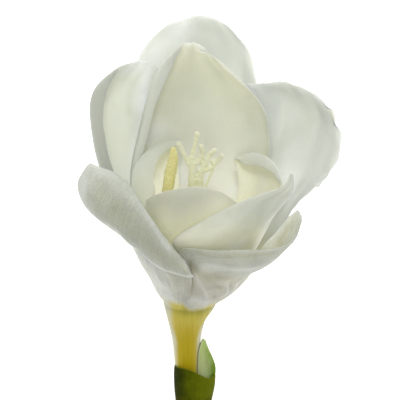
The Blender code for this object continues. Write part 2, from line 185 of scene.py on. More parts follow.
def ridges(u, v, size, lines):
    # Several ridges, added up.
    return sum((ridge(u, v, size, *line) for line in lines), np.zeros(u.shape))


def pulled(points, u, v, size, pulls):
    # Each pull moves the surface round one place (u, v) by a vector, less and less with a
    # bell-shaped distance measured along the surface.
    for at, push, width in pulls:
        gap = np.hypot((u - at[0]) * size[0], (v - at[1]) * size[1])
        points = points + np.exp(-(gap / width) ** 2)[:, :, None] * np.array(push)
    return points


def thicknessFrom(margin, thin, body, width, power=1):
    # Thin at the margin, and nearer to the body's thickness inward, by an exponential curve.
    return thin + (body - thin) * (1 - np.exp(-(margin / width) ** power))


def petalGrid(look):
    # The middle surface, its thickness, its coordinates, the distance to its margin, and the
    # painted light and shade of its inner and its outer face.
    rows, columns = look["grid"]
    turned = look["base"][1] > look["base"][0]    # then the ribs run the other way round
    across = np.linspace(1, 0, columns) if turned else np.linspace(0, 1, columns)
    v, u = np.meshgrid(np.linspace(0, 1, rows) ** look["rowPower"], across, indexing="ij")
    uPlain, vPlain = u, v
    u, v = frayed(u, v, look)
    if "bite" in look:
        u = bitten(u, v, **look["bite"])
    points = surfaceOver(petalRibs(look), u, v)
    widths, length = spans(points)
    size = np.array((widths[rows // 2], length))
    points = pulled(points, u, v, size, look["pulls"])
    margin = np.minimum(np.minimum(uPlain, 1 - uPlain) * widths[:, None], (1 - vPlain) * length)
    # Relief: a broad ripple, pleats along the blade, a frill at the margin, and the petal's folds.
    x, y = u * size[0], v * size[1]
    blade = smoothStep((v - look["smoothTo"]) / look["smoothOver"])
    (acrossPitch, alongPitch), frillPitch, seed = look["ripplePitch"], look["frillPitch"], look["seed"]
    relief = look["ripple"] * blade * softNoise(x / acrossPitch, y / alongPitch, seed + 5)
    relief = relief + look["pleat"] * blade * np.cos(2 * math.pi * look["pleats"] * u + look["pleatLean"] * v)
    frill = look["frill"] * np.exp(-margin / look["frillReach"]) * blade
    relief = relief + frill * softNoise(x / frillPitch, y / frillPitch, seed + 9)
    relief = relief + ridges(u, v, size, look["folds"])
    points = points + surfaceNormal(points) * relief[:, :, None]
    claw = smoothStep(v / look["clawTo"])         # 0 at the foot, where the petal is thinner
    thin, body = (look[part] * (atFoot + (1 - atFoot) * claw)
                  for part, atFoot in zip(("thin", "thick"), look["atFoot"]))
    thickness = thicknessFrom(margin, thin, body, look["marginWidth"], look["marginPower"])
    if "rest" in look:
        # Where the petal lies on the table, it rises by a softened maximum to just clear it.
        low, soft = look["rest"] + thickness / 2, 0.12
        points[:, :, 2] = low + soft * np.logaddexp(0, (points[:, :, 2] - low) / soft)
    # painted light and shade marks, one set for each face
    paintedShadingPerFace = [ridges(u, v, size, look[side]) for side in ("innerPaintedShading", "outerPaintedShading")]
    return points, thickness, np.stack([u, v], -1), margin, paintedShadingPerFace


def addObject(name, data):
    made = bpy.data.objects.new(name, data)
    bpy.context.scene.collection.objects.link(made)
    return made


def addMesh(name, points, faces, uv, values=None):
    # Points in millimetres, with a place (u, v) for each and any values that the materials read.
    mesh = bpy.data.meshes.new(name)
    mesh.from_pydata(((points + drawingShift) * mm).tolist(), [], faces)
    for label, value in (values or {}).items():
        mesh.attributes.new(label, "FLOAT", "POINT").data.foreach_set("value", value.astype(np.float32))
    corner = np.empty(len(mesh.loops), np.int32)
    mesh.loops.foreach_get("vertex_index", corner)
    mesh.uv_layers.new(name="UVMap").data.foreach_set("uv", uv[corner].astype(np.float32).ravel())
    mesh.shade_smooth()
    return addObject(name, mesh)


def sheetFaces(rows, columns):
    # Quads of the inner sheet, of the outer one turned over, and of the rim between them.
    index = np.arange(rows * columns).reshape(rows, columns)
    top = np.stack([index[:-1, :-1], index[:-1, 1:], index[1:, 1:], index[1:, :-1]], -1).reshape(-1, 4)
    under = top[:, ::-1] + rows * columns
    loop = np.concatenate([index[0, :-1], index[:-1, -1], index[-1, :0:-1], index[:0:-1, 0]])
    after = np.roll(loop, -1)
    rim = np.stack([after, loop, loop + rows * columns, after + rows * columns], -1)
    return np.concatenate([top, under, rim]).tolist()


def addSheet(name, grid, thickness, uv, margin, paintedShadingPerFace):
    # Two copies of the middle surface, half the thickness to each side of it, closed by a rim.
    rows, columns = thickness.shape
    step = surfaceNormal(grid) * thickness[:, :, None] / 2
    points = np.concatenate([(grid + step).reshape(-1, 3), (grid - step).reshape(-1, 3)])
    # the materials read which face a point is on, its distance to the margin, and its painted light and shade
    values = dict(innerFace=np.repeat((1.0, 0.0), rows * columns),
                  fromMargin=np.tile(np.clip(margin.ravel() / marginSpan, 0, 1), 2),
                  paintedShading=np.concatenate([paintedShading.ravel() for paintedShading in paintedShadingPerFace]))
    return addMesh(name, points, sheetFaces(rows, columns), np.tile(uv.reshape(-1, 2), (2, 1)), values)


def finishPiece(piece, look, material):
    # The piece stands for its solid, and takes that solid's finish.
    piece.data.materials.append(material)
    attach(piece, "root")
    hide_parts(look["node"])
    return piece


def addPetal(look, material):
    piece = finishPiece(addSheet(look["name"], *petalGrid(look)), look, material)
    print(look["name"], "has", len(piece.data.polygons), "faces")


def newGroup(name, inputs, outputs):
    # The inputs' and the outputs' names are listed by their kind.
    group = bpy.data.node_groups.new(name, "ShaderNodeTree")
    for way, sockets in (("INPUT", inputs), ("OUTPUT", outputs)):
        for kind, labels in sockets.items():
            for label in labels:
                group.interface.new_socket(label, in_out=way, socket_type="NodeSocket" + kind)
    return group, group.nodes.new("NodeGroupInput").outputs, group.nodes.new("NodeGroupOutput").inputs


def addNode(tree, kind, links=None, **settings):
    # One node with its settings, its input values and its links, each input named or numbered.
    node = tree.nodes.new("ShaderNode" + kind)
    for key, value in settings.items():
        setattr(node, key, value)
    for key, value in (links or {}).items():
        socket = node.inputs[key]
        if isinstance(value, bpy.types.NodeSocket):
            tree.links.new(value, socket)
        else:
            socket.default_value = value
    return node


def maths(tree, operation, *values):
    return addNode(tree, "Math", dict(enumerate(values)), operation=operation).outputs[0]


def times(tree, first, second):
    return maths(tree, "MULTIPLY", first, second)


def plus(tree, first, second):
    return maths(tree, "ADD", first, second)


def held(tree, value):
    # Kept from 0 to 1.
    return maths(tree, "MINIMUM", maths(tree, "MAXIMUM", value, 0.0), 1.0)


def swing(tree, pattern, amount, middle=0.0):
    # A pattern of 0 to 1, made to swing by half the amount to each side of a middle value.
    return maths(tree, "MULTIPLY_ADD", pattern, amount, middle - amount / 2)


def mixColour(tree, factor, first, second, blend="MIX"):
    node = addNode(tree, "Mix", {0: factor, 6: first, 7: second}, data_type="RGBA", blend_type=blend)
    return node.outputs[2]


def shaded(tree, colour, shade):
    # The colour, multiplied by a grey.
    grey = addNode(tree, "CombineColor", {0: shade, 1: shade, 2: shade}).outputs[0]
    return mixColour(tree, 1.0, colour, grey, "MULTIPLY")


def between(tree, value, start, end, low=0.0, high=1.0):
    # Eased from low at start to high at end, and held beyond them.
    links = {0: value, 1: start, 2: end, 3: low, 4: high}
    return addNode(tree, "MapRange", links, interpolation_type="SMOOTHSTEP").outputs[0]


def noise(tree, vector, scale, detail=3.0):
    links = {"Vector": vector, "Scale": scale, "Detail": detail}
    return addNode(tree, "TexNoise", links).outputs["Fac"]


def vectorMath(tree, operation, first, second):
    node = addNode(tree, "VectorMath", {0: first, 1: second}, operation=operation)
    return node.outputs["Value" if operation in ("DISTANCE", "DOT_PRODUCT") else "Vector"]


def streaks(tree, vector, pitches, detail=3.0):
    # Noise drawn out along the axes where its pitch is low.
    return noise(tree, vectorMath(tree, "MULTIPLY", vector, pitches), 1.0, detail)


# The yellow, in millimetres along the tube from the throat (up is positive) and to the right of
# it. A pair says where a change starts and where it ends.
tubeYellow = dict(
    streakPitch=(1700, 130, 130), streakShade=0.3, ragged=1.1, border=(4.3, 1.7), tongueLeft=(-1.8, 0),
    tongueRight=(4.8, 2.4), tongueRise=2.1, deep=(0, -9), halfWidths=(4.9, 2.4), leanOver=(0, -6),
    lean=(0.2, -0.75), paleSides=(0.66, 1.05), upColour=(0.66, 0.54, 0.06, 1),
    downColour=(0.53, 0.41, 0.006, 1), sideColour=(0.64, 0.62, 0.42, 1))
throatPlace = ((throat["centre"] + drawingShift) * mm).tolist()


def makeTubeTint(look):
    # The tube's yellow: none on the petals, then a ragged border, then deeper down the tube, and
    # pale toward the tube's two sides. Streaks run along the tube.
    group, given, result = newGroup(
        "tubeTint", dict(Vector=["Place"], Color=["Color"]), dict(Color=["Color"]))
    offset = vectorMath(group, "SUBTRACT", given["Place"], throatPlace)
    along = times(group, vectorMath(group, "DOT_PRODUCT", offset, alongTube.tolist()), 1 / mm)
    side = times(group, addNode(group, "SeparateXYZ", {0: offset}).outputs[0], 1 / mm)
    streak = streaks(group, given["Place"], look["streakPitch"])
    tongue = times(group, between(group, side, *look["tongueLeft"]),
                   between(group, side, *look["tongueRight"]))
    border = plus(group, plus(group, along, swing(group, streak, look["ragged"])),
                  times(group, tongue, look["tongueRise"]))
    tint = mixColour(group, between(group, along, *look["deep"]), look["upColour"], look["downColour"])
    # how far out to a side, as a share of the tube's half width at this height
    half = between(group, along, *look["deep"], *look["halfWidths"])
    lean = between(group, along, *look["leanOver"], *look["lean"])
    off = maths(group, "DIVIDE", maths(group, "ABSOLUTE", maths(group, "SUBTRACT", side, lean)), half)
    tint = mixColour(group, between(group, off, *look["paleSides"]), tint, look["sideColour"])
    tint = shaded(group, tint, swing(group, streak, look["streakShade"], 1))
    yellow = between(group, border, *look["border"])
    group.links.new(mixColour(group, yellow, given["Color"], tint), result["Color"])
    return group


petalPattern = dict(wobblePitch=160, wobble=6, toneBreak=1.2, veinPitch=(70, 2.4, 1), mottlePitch=380,
                    grainPitch=3600, relief=0.6, paintedGlowReach=(34, 21))


def makePetalSkin(look):
    # Colour from the distance to the throat, with fine veins along the blade, a soft mottle and
    # cell grain, soft marks of painted light and painted shade, and painted shade along the margin.
    # Height carries the veins and the grain. Glow is a painted glow on the inner face inside the
    # throat, standing in for the light that thin petals let through.
    group, given, result = newGroup("petalSkin", dict(
        Vector=["Place", "Along"], Color=["Inner", "Outer", "Throat", "Painted Shade", "Light"],
        Float=["Inner Face", "Margin", "Throat Reach", "Throat Core", "Outer Throat", "Painted Shading", "Margin Shade",
               "Margin Width", "Veins", "Mottle", "Grain", "Painted Glow Amount"]),
        dict(Color=["Color", "Glow"], Float=["Height"]))
    distance = times(group, vectorMath(group, "DISTANCE", given["Place"], throatPlace), 1 / mm)
    wobble = noise(group, given["Place"], look["wobblePitch"])
    distance = plus(group, distance, swing(group, wobble, look["wobble"]))
    yellow = between(group, distance, given["Throat Reach"], given["Throat Core"])
    yellow = times(group, yellow, maths(group, "MAXIMUM", given["Inner Face"], given["Outer Throat"]))
    base = mixColour(group, given["Inner Face"], given["Outer"], given["Inner"])
    base = mixColour(group, yellow, base, given["Throat"])
    # the soft marks of painted light and painted shade, broken up a little by noise
    paintedShading = times(group, given["Painted Shading"], swing(group, wobble, look["toneBreak"], 1))
    base = mixColour(group, held(group, paintedShading), base, given["Light"])
    base = mixColour(group, held(group, times(group, paintedShading, -1.0)), base, given["Painted Shade"])
    vein = streaks(group, given["Along"], look["veinPitch"], 2.0)
    mottle = noise(group, given["Place"], look["mottlePitch"])
    grain = noise(group, given["Place"], look["grainPitch"], 2.0)
    shade = 1.0
    for pattern, amount in ((vein, "Veins"), (mottle, "Mottle"), (grain, "Grain")):
        shade = maths(group, "MULTIPLY_ADD", maths(group, "SUBTRACT", pattern, 0.5), given[amount], shade)
    # painted shade: darker in a band along the margin
    nearMargin = between(group, times(group, given["Margin"], marginSpan), given["Margin Width"], 0.0)
    shade = maths(group, "SUBTRACT", shade, times(group, nearMargin, given["Margin Shade"]))
    height = plus(group, times(group, vein, look["relief"]), times(group, grain, look["relief"]))
    # painted glow: an emission on the inner face near the throat, standing in for light let through
    paintedGlow = times(group, between(group, distance, *look["paintedGlowReach"]), given["Painted Glow Amount"])
    paintedGlow = times(group, paintedGlow, given["Inner Face"])
    group.links.new(shaded(group, base, shade), result["Color"])
    group.links.new(height, result["Height"])
    group.links.new(mixColour(group, paintedGlow, (0, 0, 0, 1), given["Throat"]), result["Glow"])
    return group


def newMaterial(name):
    material = bpy.data.materials.new(name)
    material.use_nodes = True
    return material, material.node_tree, material.node_tree.nodes["Principled BSDF"]


def setInputs(node, values):
    # A colour's fourth number is 1.
    for label, value in values.items():
        socket = node.inputs[label]
        socket.default_value = (*value, 1) if socket.type == "RGBA" else value


def finishShader(tree, shader, colour, height, bump, depth, values):
    # Colour and relief are linked, and what is the same all over is set on the shader's own sockets.
    relief = addNode(tree, "Bump", {"Strength": bump, "Distance": depth * mm, "Height": height})
    tree.links.new(colour, shader.inputs["Base Color"])
    tree.links.new(relief.outputs["Normal"], shader.inputs["Normal"])
    setInputs(shader, values)


tubeTint = makeTubeTint(tubeYellow)
petalSkin = makePetalSkin(petalPattern)


def petalMaterial(name, look, glow=0.9, bump=0.25):
    # The petal's skin, with the tube's yellow over it near the throat.
    material, tree, shader = newMaterial(name)
    place = addNode(tree, "TexCoord").outputs
    skin = addNode(tree, "Group", node_tree=petalSkin)
    tree.links.new(place["Object"], skin.inputs["Place"])
    tree.links.new(place["UV"], skin.inputs["Along"])
    # the third attribute carries the painted light and shade marks
    for label, attribute in (("Inner Face", "innerFace"), ("Margin", "fromMargin"), ("Painted Shading", "paintedShading")):
        value = addNode(tree, "Attribute", attribute_name=attribute).outputs["Fac"]
        tree.links.new(value, skin.inputs[label])
    setInputs(skin, look)
    tint = addNode(tree, "Group", node_tree=tubeTint)
    tree.links.new(place["Object"], tint.inputs["Place"])
    tree.links.new(skin.outputs["Color"], tint.inputs["Color"])
    # the painted glow feeds the emission
    tree.links.new(skin.outputs["Glow"], shader.inputs["Emission Color"])
    finishShader(tree, shader, tint.outputs["Color"], skin.outputs["Height"], bump, 0.3, {
        "Roughness": 0.55, "Specular IOR Level": 0.25, "Subsurface Weight": glow, "Emission Strength": 1.0,
        "Subsurface Radius": (1.0, 0.95, 0.8), "Subsurface Scale": 0.0012})
    return material


# The white look's darker Outer colour is painted shade on the left petal's folded-back strip.
whiteLook = {
    "Inner": (0.67, 0.7, 0.64), "Outer": (0.49, 0.51, 0.45), "Throat": (0.84, 0.83, 0.62),
    "Throat Reach": 24.0, "Throat Core": 8.0, "Painted Shade": (0.36, 0.38, 0.32), "Light": (0.9, 0.93, 0.9),
    "Margin Shade": 0.1, "Margin Width": 1.4, "Veins": 0.06, "Mottle": 0.06, "Grain": 0.06}
# A darker copy of the white look, for the back and the right petal: painted shade.
shadedWhiteLook = {**whiteLook, "Inner": (0.56, 0.59, 0.57), "Outer": (0.55, 0.575, 0.54)}
# The reflexed and the front petal's darker face colours are painted shade, on faces turned away from the
# light.
reflexedLook = {
    **whiteLook, "Inner": (0.49, 0.51, 0.435), "Outer": (0.6, 0.62, 0.56), "Outer Throat": 1.0,
    "Throat": (0.8, 0.81, 0.69), "Throat Reach": 21.0, "Throat Core": 13.0, "Painted Shade": (0.32, 0.29, 0.16),
    "Light": (0.74, 0.76, 0.72), "Mottle": 0.24, "Grain": 0.46, "Veins": 0.32, "Margin Shade": 0.0}
frontLook = {
    **reflexedLook, "Inner": (0.62, 0.64, 0.56), "Outer": (0.53, 0.55, 0.48),
    "Throat": (0.62, 0.61, 0.5), "Throat Reach": 24.0, "Throat Core": 15.0, "Painted Shade": (0.34, 0.29, 0.14),
    "Light": (0.87, 0.87, 0.81), "Mottle": 0.32, "Grain": 0.36}
# The hood and the inner petals carry a painted glow near the throat.
hoodLook = {
    **whiteLook, "Inner": (0.65, 0.67, 0.55), "Outer": (0.62, 0.65, 0.57), "Throat": (0.98, 0.97, 0.76),
    "Throat Reach": 44.0, "Throat Core": 19.0, "Light": (0.96, 0.96, 0.82), "Margin Width": 3.0,
    "Painted Glow Amount": 0.17}
innerLook = {
    **hoodLook, "Inner": (0.88, 0.88, 0.7), "Outer": (0.58, 0.61, 0.54), "Throat": (0.96, 0.94, 0.7),
    "Throat Reach": 30.0, "Throat Core": 14.0, "Outer Throat": 0.25, "Margin Shade": 0.05,
    "Margin Width": 1.4, "Painted Glow Amount": 0.24}
# The lower inner petals' darker Outer colour is painted shade.
lowLook = {
    **innerLook, "Outer": (0.46, 0.475, 0.42), "Throat": (0.78, 0.77, 0.56), "Throat Core": 16.0,
    "Outer Throat": 1.0, "Painted Glow Amount": 0.06}
pointedLook = {
    **lowLook, "Outer": (0.52, 0.55, 0.5), "Throat": (0.86, 0.86, 0.65), "Throat Reach": 31.0,
    "Throat Core": 22.0}
# The right inner petal's lighter Outer colour is painted light on its folded band.
rightLook = {
    **innerLook, "Inner": (0.81, 0.82, 0.67), "Outer": (0.68, 0.71, 0.62), "Outer Throat": 0.6,
    "Throat": (0.9, 0.88, 0.64), "Painted Glow Amount": 0.05}
whitePetal = petalMaterial("whitePetal", whiteLook)
shadedWhitePetal = petalMaterial("shadedWhitePetal", shadedWhiteLook)
reflexedSkin = petalMaterial("reflexedPetal", reflexedLook, glow=0.7, bump=0.6)
frontSkin = petalMaterial("frontPetal", frontLook, glow=0.75, bump=0.5)
hoodSkin = petalMaterial("hoodPetal", hoodLook)
innerPetal = petalMaterial("innerPetal", innerLook)
lowPetal = petalMaterial("lowInnerPetal", lowLook)
rightSkin = petalMaterial("rightInnerPetal", rightLook)
pointedSkin = petalMaterial("pointedPetal", pointedLook)
print("materials for the petals are ready")

# A petal's look on each face, from the throat's tint to its veins and grain, is above. Its form is
# below: the angles of its two margins at the foot (base) and where the funnel flares, how far inside
# the funnel each margin lies, and its ribs from the claw to the tip. Places are (u, v): across
# the petal, and along it from its foot. Pulls are (place, push, width), folds (height, width,
# path, fade), and painted light and shade marks (amount, width, path), painted light above 0 and
# painted shade below.
petalSheet = dict(
    rowPower=0.8,                                 # crowds the rows toward the tip
    fray=0.0012, ripplePitch=(9, 22), frillPitch=6, frillReach=2.2, pleatLean=1.3,
    smoothTo=0.35, smoothOver=0.2,                # no relief below, then growing over this share
    clawTo=0.4, atFoot=(0.3, 0.6),                # shares of the margin's and the body's thickness
    marginWidth=0.9, marginPower=1.2, pulls=[], folds=[], innerPaintedShading=[], outerPaintedShading=[])
broadSheet = dict(petalSheet, slot="petal_white", inner=False, thick=0.34, thin=0.1, pleat=0.04, pleats=5)
cuppedSheet = dict(broadSheet, pleat=0.03, pleats=6, smoothTo=0.45)
innerSheet = dict(
    petalSheet, slot="inner_petal_white", inner=True, thick=0.3, thin=0.09, pleat=0.03, pleats=4)

backPetal = dict(
    broadSheet, name="backPetal", node="petal_back", lap=0.02, seed=11, rest=0.05, base=(122, 58),
    flare=(126, 55), inside=(-0.2, -0.25), grid=(130, 90), ripple=0.22, frill=0.12,
    innerPaintedShading=[
        (0.5, 3.5, [(0.06, 0.72), (0.12, 0.88), (0.3, 0.97)]), (0.2, 3, [(0.75, 0.8), (0.85, 0.7)]),
    ],
    ribs=[
        [(-8.5, 1, 4.6), (-4.5, 0, 3.6), (0.5, -0.5, 3.2), (5.5, 0, 3.6), (9.5, 1.5, 4.6)],
        [(-13.5, 14, 3.8), (-7, 12, 1.6), (0.5, 11.5, 0.9), (8, 12.5, 1.6), (12.6, 14, 3.6)],
        [(-13.4, 24, 2.2), (-7.5, 23.5, 0.4), (0.5, 23.5, 0.2), (7, 24, 0.4), (11.3, 24.5, 2)],
        [(-10.5, 31.8, 1.8), (-5, 32.6, 0.6), (0, 33, 0.4), (4.9, 33, 0.6), (8.9, 31.6, 1.6)],
        [(-6.6, 35.3, 1.6), (-3.5, 36.5, 1.6), (0, 37.1, 1.6), (3.3, 36.3, 1.6), (5.7, 35.1, 1.6)],
    ])
addPetal(backPetal, shadedWhitePetal)

leftPetal = dict(
    broadSheet, name="leftPetal", node="petal_left", lap=-0.03, seed=23, base=(179, 117),
    flare=(180, 116), inside=(0.15, 0.15), grid=(140, 110), ripple=0.2, frill=0.1,
    folds=[
        (-0.3, 1.8, [(0.8, 1), (0.66, 0.985), (0.59, 0.95), (0.6, 0.88), (0.64, 0.8), (0.68, 0.72)],
         (0.4, 0.5)),
        (0.25, 2.2, [(0.62, 1), (0.5, 0.95), (0.49, 0.86), (0.52, 0.76), (0.56, 0.62)], (0.4, 0.4)),
    ],
    innerPaintedShading=[
        (-0.1, 1.8, [(0.45, 0.6), (0.52, 0.8), (0.55, 0.93)]),
        (0.6, 2, [(0.5, 0.99), (0.78, 0.97), (0.76, 0.85)]),
        (-0.3, 1, [(0.79, 1), (0.7, 0.965), (0.65, 0.89), (0.67, 0.815)]),
        (0.12, 1.4, [(0.66, 1), (0.6, 0.93), (0.57, 0.86)]),
        (0.5, 1, [(0.8, 0.86), (0.76, 0.755), (0.68, 0.635), (0.6, 0.55)]),
    ],
    ribs=[
        [(-14.5, -1, 19), (-16, -1.5, 17.5), (-15, -2, 13), (-11.5, -3, 10.6), (-8, -4, 9.5),
         (-5, -4.5, 9.1)],
        [(-18.4, 9, 19.5), (-20.8, 9.5, 17), (-19.5, 9, 11.5), (-15, 8, 8), (-11, 7, 7), (-7.5, 6.5, 6.8)],
        [(-19.3, 17, 19.5), (-21.8, 17, 17), (-20.5, 16.8, 11.8), (-16, 16.5, 8.2), (-11.5, 16, 7),
         (-7.5, 16, 7)],
        [(-18.2, 23, 17.5), (-20.4, 23.1, 16), (-18.5, 23.4, 12.3), (-14.5, 23.4, 9.2), (-10.8, 23.6, 8),
         (-7.6, 23.6, 8)],
        [(-16.4, 26, 15.5), (-16.7, 26.3, 14.8), (-14.5, 27.6, 12.5), (-12.2, 27.85, 10.8),
         (-10, 27.5, 9.6), (-7.6, 26.3, 9)],
    ])
addPetal(leftPetal, whitePetal)

rightPetal = dict(
    broadSheet, name="rightPetal", node="petal_right", lap=-0.03, seed=37, base=(63, -12),
    flare=(63, -12), inside=(0.15, 0.15), grid=(200, 130), rowPower=0.65, ripple=0.25, frill=0.15,
    fray=0.0015,
    pulls=[
        ((0.37, 1), (0, 0.3, 0), 2), ((0.6, 1), (0, 0.2, 0), 1),
        ((0.972, 1), (-0.3, -0.2, 0), 0.45), ((1, 0.985), (0.5, 0.3, 0), 0.7),
        ((1, 0.966), (0.3, 0.2, 0), 0.5), ((1, 0.9515), (-0.5, -0.25, 0), 0.55),
        ((1, 0.915), (0.3, 0, 0), 1.4), ((1, 0.806), (0.1, 0, 0), 0.8),
        ((1, 0.745), (0.1, -0.1, 0), 0.8), ((1, 0.706), (0.1, -0.5, 0), 0.6),
    ],
    folds=[
        (-0.35, 1.6, [(0.3, 0.62), (0.45, 0.74), (0.62, 0.86), (0.72, 0.95)], (0.3, 0.3)),
        (0.2, 1.8, [(0.62, 0.66), (0.72, 0.76), (0.8, 0.86)], (0.3, 0.3)),
    ],
    innerPaintedShading=[
        (-0.12, 1.5, [(0.26, 0.72), (0.56, 0.86)]), (0.2, 3, [(0.5, 0.7)]),
        (0.55, 3.4, [(0.56, 0.62), (0.6, 0.55), (0.62, 0.46)]),
        (-0.7, 0.4, [(0.965, 0.975), (0.963, 0.955)]),
    ],
    ribs=[
        [(7, -3.5, 9.2), (9.5, -5, 10.2), (12, -5.6, 12), (14.4, -5.8, 14.5), (16.4, -5.7, 17.2)],
        [(10, 6, 7), (13.5, 4.5, 7.5), (17, 3, 9.5), (19, 1.2, 12.5), (20.4, 0.2, 16)],
        [(11, 14, 7.5), (15.5, 13, 7), (20, 11.5, 8.5), (24, 9, 11.5), (26, 5.6, 15.5)],
        [(11, 20.5, 9), (16, 20.5, 8), (20.8, 19.2, 9), (25, 16.6, 11), (28.2, 12.4, 14.5)],
        [(9.4, 23.2, 10.2), (14, 23.7, 10), (18.5, 23.4, 10.5), (22.4, 21.7, 11.5), (25.8, 18.4, 13)],
    ])
addPetal(rightPetal, shadedWhitePetal)

reflexedPetal = dict(
    cuppedSheet, name="reflexedPetal", node="petal_reflexed", lap=0.02, seed=41, base=(174, 260),
    flare=(174, 260), inside=(-0.2, -0.12), grid=(200, 150), rowPower=0.75, ripple=0.12, frill=0.12,
    pulls=[
        ((0, 0.785), (0, 0.35, 0), 0.8), ((0.14, 0.785), (0, -0.5, 0), 1.1),
        ((1, 1), (-0.75, 0.15, 0), 0.7), ((0.05, 0.93), (-0.1, -0.2, 0), 2),
        ((0.37, 0.95), (0.35, 0.3, 0), 2),
    ],
    folds=[
        (0.2, 0.4, [(0.07, 0.77), (0.1, 0.83), (0.14, 0.855), (0.19, 0.88)], (0.3, 0.3)),
        (-0.15, 0.35, [(0.09, 0.77), (0.12, 0.8), (0.155, 0.84), (0.21, 0.87)], (0.3, 0.3)),
        (0.3, 0.8, [(0.125, 0.77), (0.175, 0.82), (0.22, 0.85), (0.26, 0.88)], (0.3, 0.3)),
        (0.15, 0.4, [(0.36, 0.79), (0.352, 0.845), (0.342, 0.87), (0.346, 0.92)], (0.4, 0.4)),
        (-0.2, 0.5, [(0.33, 0.8), (0.33, 0.845), (0.324, 0.87), (0.32, 0.9)], (0.4, 0.4)),
        (-0.3, 0.6, [(0.55, 0.5), (0.6, 0.4), (0.66, 0.3)], (0.4, 0.4)),
        (0.3, 0.7, [(0.68, 0.5), (0.72, 0.4), (0.76, 0.28)], (0.4, 0.4)),
    ],
    innerPaintedShading=[
        (0.7, 0.5, [(0.4, 0.965), (0.55, 0.975), (0.75, 0.98), (0.97, 0.97)]), (0.6, 0.8, [(0.98, 0.95)]),
        (0.35, 1.4, [(0.16, 0.775), (0.4, 0.785), (0.6, 0.768), (0.8, 0.79)]),
        (0.5, 3, [(0.03, 0.79), (0.06, 0.85), (0.1, 0.95)]), (0.2, 3, [(0.2, 0.95), (0.35, 0.93)]),
        (-0.15, 0.6, [(0.07, 0.79), (0.1, 0.83), (0.14, 0.855), (0.19, 0.87)]),
        (-0.12, 0.9, [(0.14, 0.785), (0.19, 0.82), (0.23, 0.85), (0.26, 0.87)]),
        (-0.1, 0.6, [(0.352, 0.82), (0.352, 0.845), (0.342, 0.87), (0.346, 0.9)]),
        (0.12, 0.7, [(0.33, 0.82), (0.33, 0.845), (0.324, 0.87)]),
        (-0.2, 3, [(0.36, 0.86), (0.6, 0.86), (0.8, 0.88)]),
    ],
    outerPaintedShading=[
        (-0.35, 2.2, [(0.8, 0.47), (0.86, 0.25)]), (-0.45, 1.4, [(0.97, 0.48), (0.98, 0.22)]),
        (0.4, 0.5, [(0.56, 0.43), (0.66, 0.31), (0.72, 0.22)]), (0.3, 0.3, [(0.68, 0.44), (0.76, 0.32)]),
    ],
    ribs=[
        [(-15.5, -5, 22), (-13, -8.5, 27), (-10, -11.5, 30), (-6.3, -13.4, 31.6), (-1.8, -14.4, 31.6)],
        [(-22.1, 6.7, 32.5), (-17.3, 4, 35), (-12.3, -1.2, 37), (-7.5, -7.9, 38), (-3.1, -12.6, 37)],
        [(-24.3, 3.6, 30), (-20.7, -1.4, 34.5), (-14, -6, 36), (-8, -11, 37), (-2.1, -14.1, 37.4)],
        [(-23.2, -0.9, 26), (-19.1, -5, 29.5), (-13.1, -9.7, 31), (-7, -14.1, 34), (-0.7, -15.5, 36.4)],
    ])
addPetal(reflexedPetal, reflexedSkin)

frontPetal = dict(
    cuppedSheet, name="frontPetal", node="petal_front", lap=-0.03, seed=53, base=(246, 353),
    flare=(246, 351), inside=(0.05, -0.15), grid=(150, 120), ripple=0.1, frill=0.08,
    folds=[
        (-0.3, 0.4, [(0.6, 0.6), (0.69, 0.47), (0.67, 0.355), (0.64, 0.26)], (0.3, 0.3)),
        (0.35, 0.5, [(0.6, 0.56), (0.615, 0.42), (0.6, 0.3)], (0.3, 0.3)),
        (-0.25, 0.8, [(0.22, 0.56), (0.28, 0.45), (0.34, 0.33)], (0.4, 0.4)),
        (0.25, 0.7, [(0.12, 0.52), (0.14, 0.42), (0.18, 0.3)], (0.4, 0.4)),
        (0.25, 0.8, [(0.36, 0.6), (0.42, 0.47), (0.45, 0.34)], (0.4, 0.4)),
    ],
    pulls=[((0, 0.57), (0, -0.5, 0), 3)],
    innerPaintedShading=[(-0.2, 2, [(0.85, 0.88), (0.84, 0.77)])],
    outerPaintedShading=[
        (0.35, 1.2, [(0.3, 0.48), (0.29, 0.55), (0.33, 0.62), (0.36, 0.68)]),
        (-0.2, 1.2, [(0.09, 0.56), (0.06, 0.68), (0.1, 0.8)]), (-0.3, 1.1, [(0.22, 0.44)]),
        (0.5, 1.2, [(0.05, 0.42), (0.1, 0.46)]),
        (-0.25, 1.2, [(0.14, 0.44), (0.14, 0.36), (0.15, 0.31)]), (-0.4, 0.9, [(0.48, 0.37)]),
        (-0.3, 0.7, [(0.42, 0.29)]), (0.4, 0.35, [(0.7, 0.47), (0.67, 0.355), (0.64, 0.28)]),
        (0.35, 0.35, [(0.6, 0.42), (0.576, 0.34), (0.56, 0.27)]), (-0.3, 1.8, [(0.35, 0.43), (0.5, 0.5)]),
        (0.35, 0.5, [(0.25, 0.4), (0.33, 0.3)]), (0.5, 1.2, [(0.165, 0.28), (0.36, 0.25)]),
    ],
    ribs=[
        [(-4.2, -10.4, 32.6), (-0.2, -13.2, 32.6), (4, -16, 30.5), (8.5, -15.5, 26.5), (11.5, -12.5, 23.5)],
        [(3.3, -9.8, 38.2), (7, -13, 37.5), (10.5, -14.2, 34), (13, -12.5, 30.5), (12.6, -9.2, 29.5)],
        [(11, -10, 40.5), (13.4, -11.6, 39), (15.6, -11.1, 36), (16.4, -8.8, 33.8), (15.4, -6.1, 33)],
        [(18, -8.7, 40.6), (18.6, -8, 39), (18.8, -6.6, 37.4), (18.6, -5, 36.4), (17.6, -3.4, 36)],
        [(20.2, -4.2, 39.6), (20.2, -3.6, 39.1), (20.1, -3, 38.7), (19.8, -2.4, 38.4), (19.3, -2, 38.2)],
    ])
addPetal(frontPetal, frontSkin)

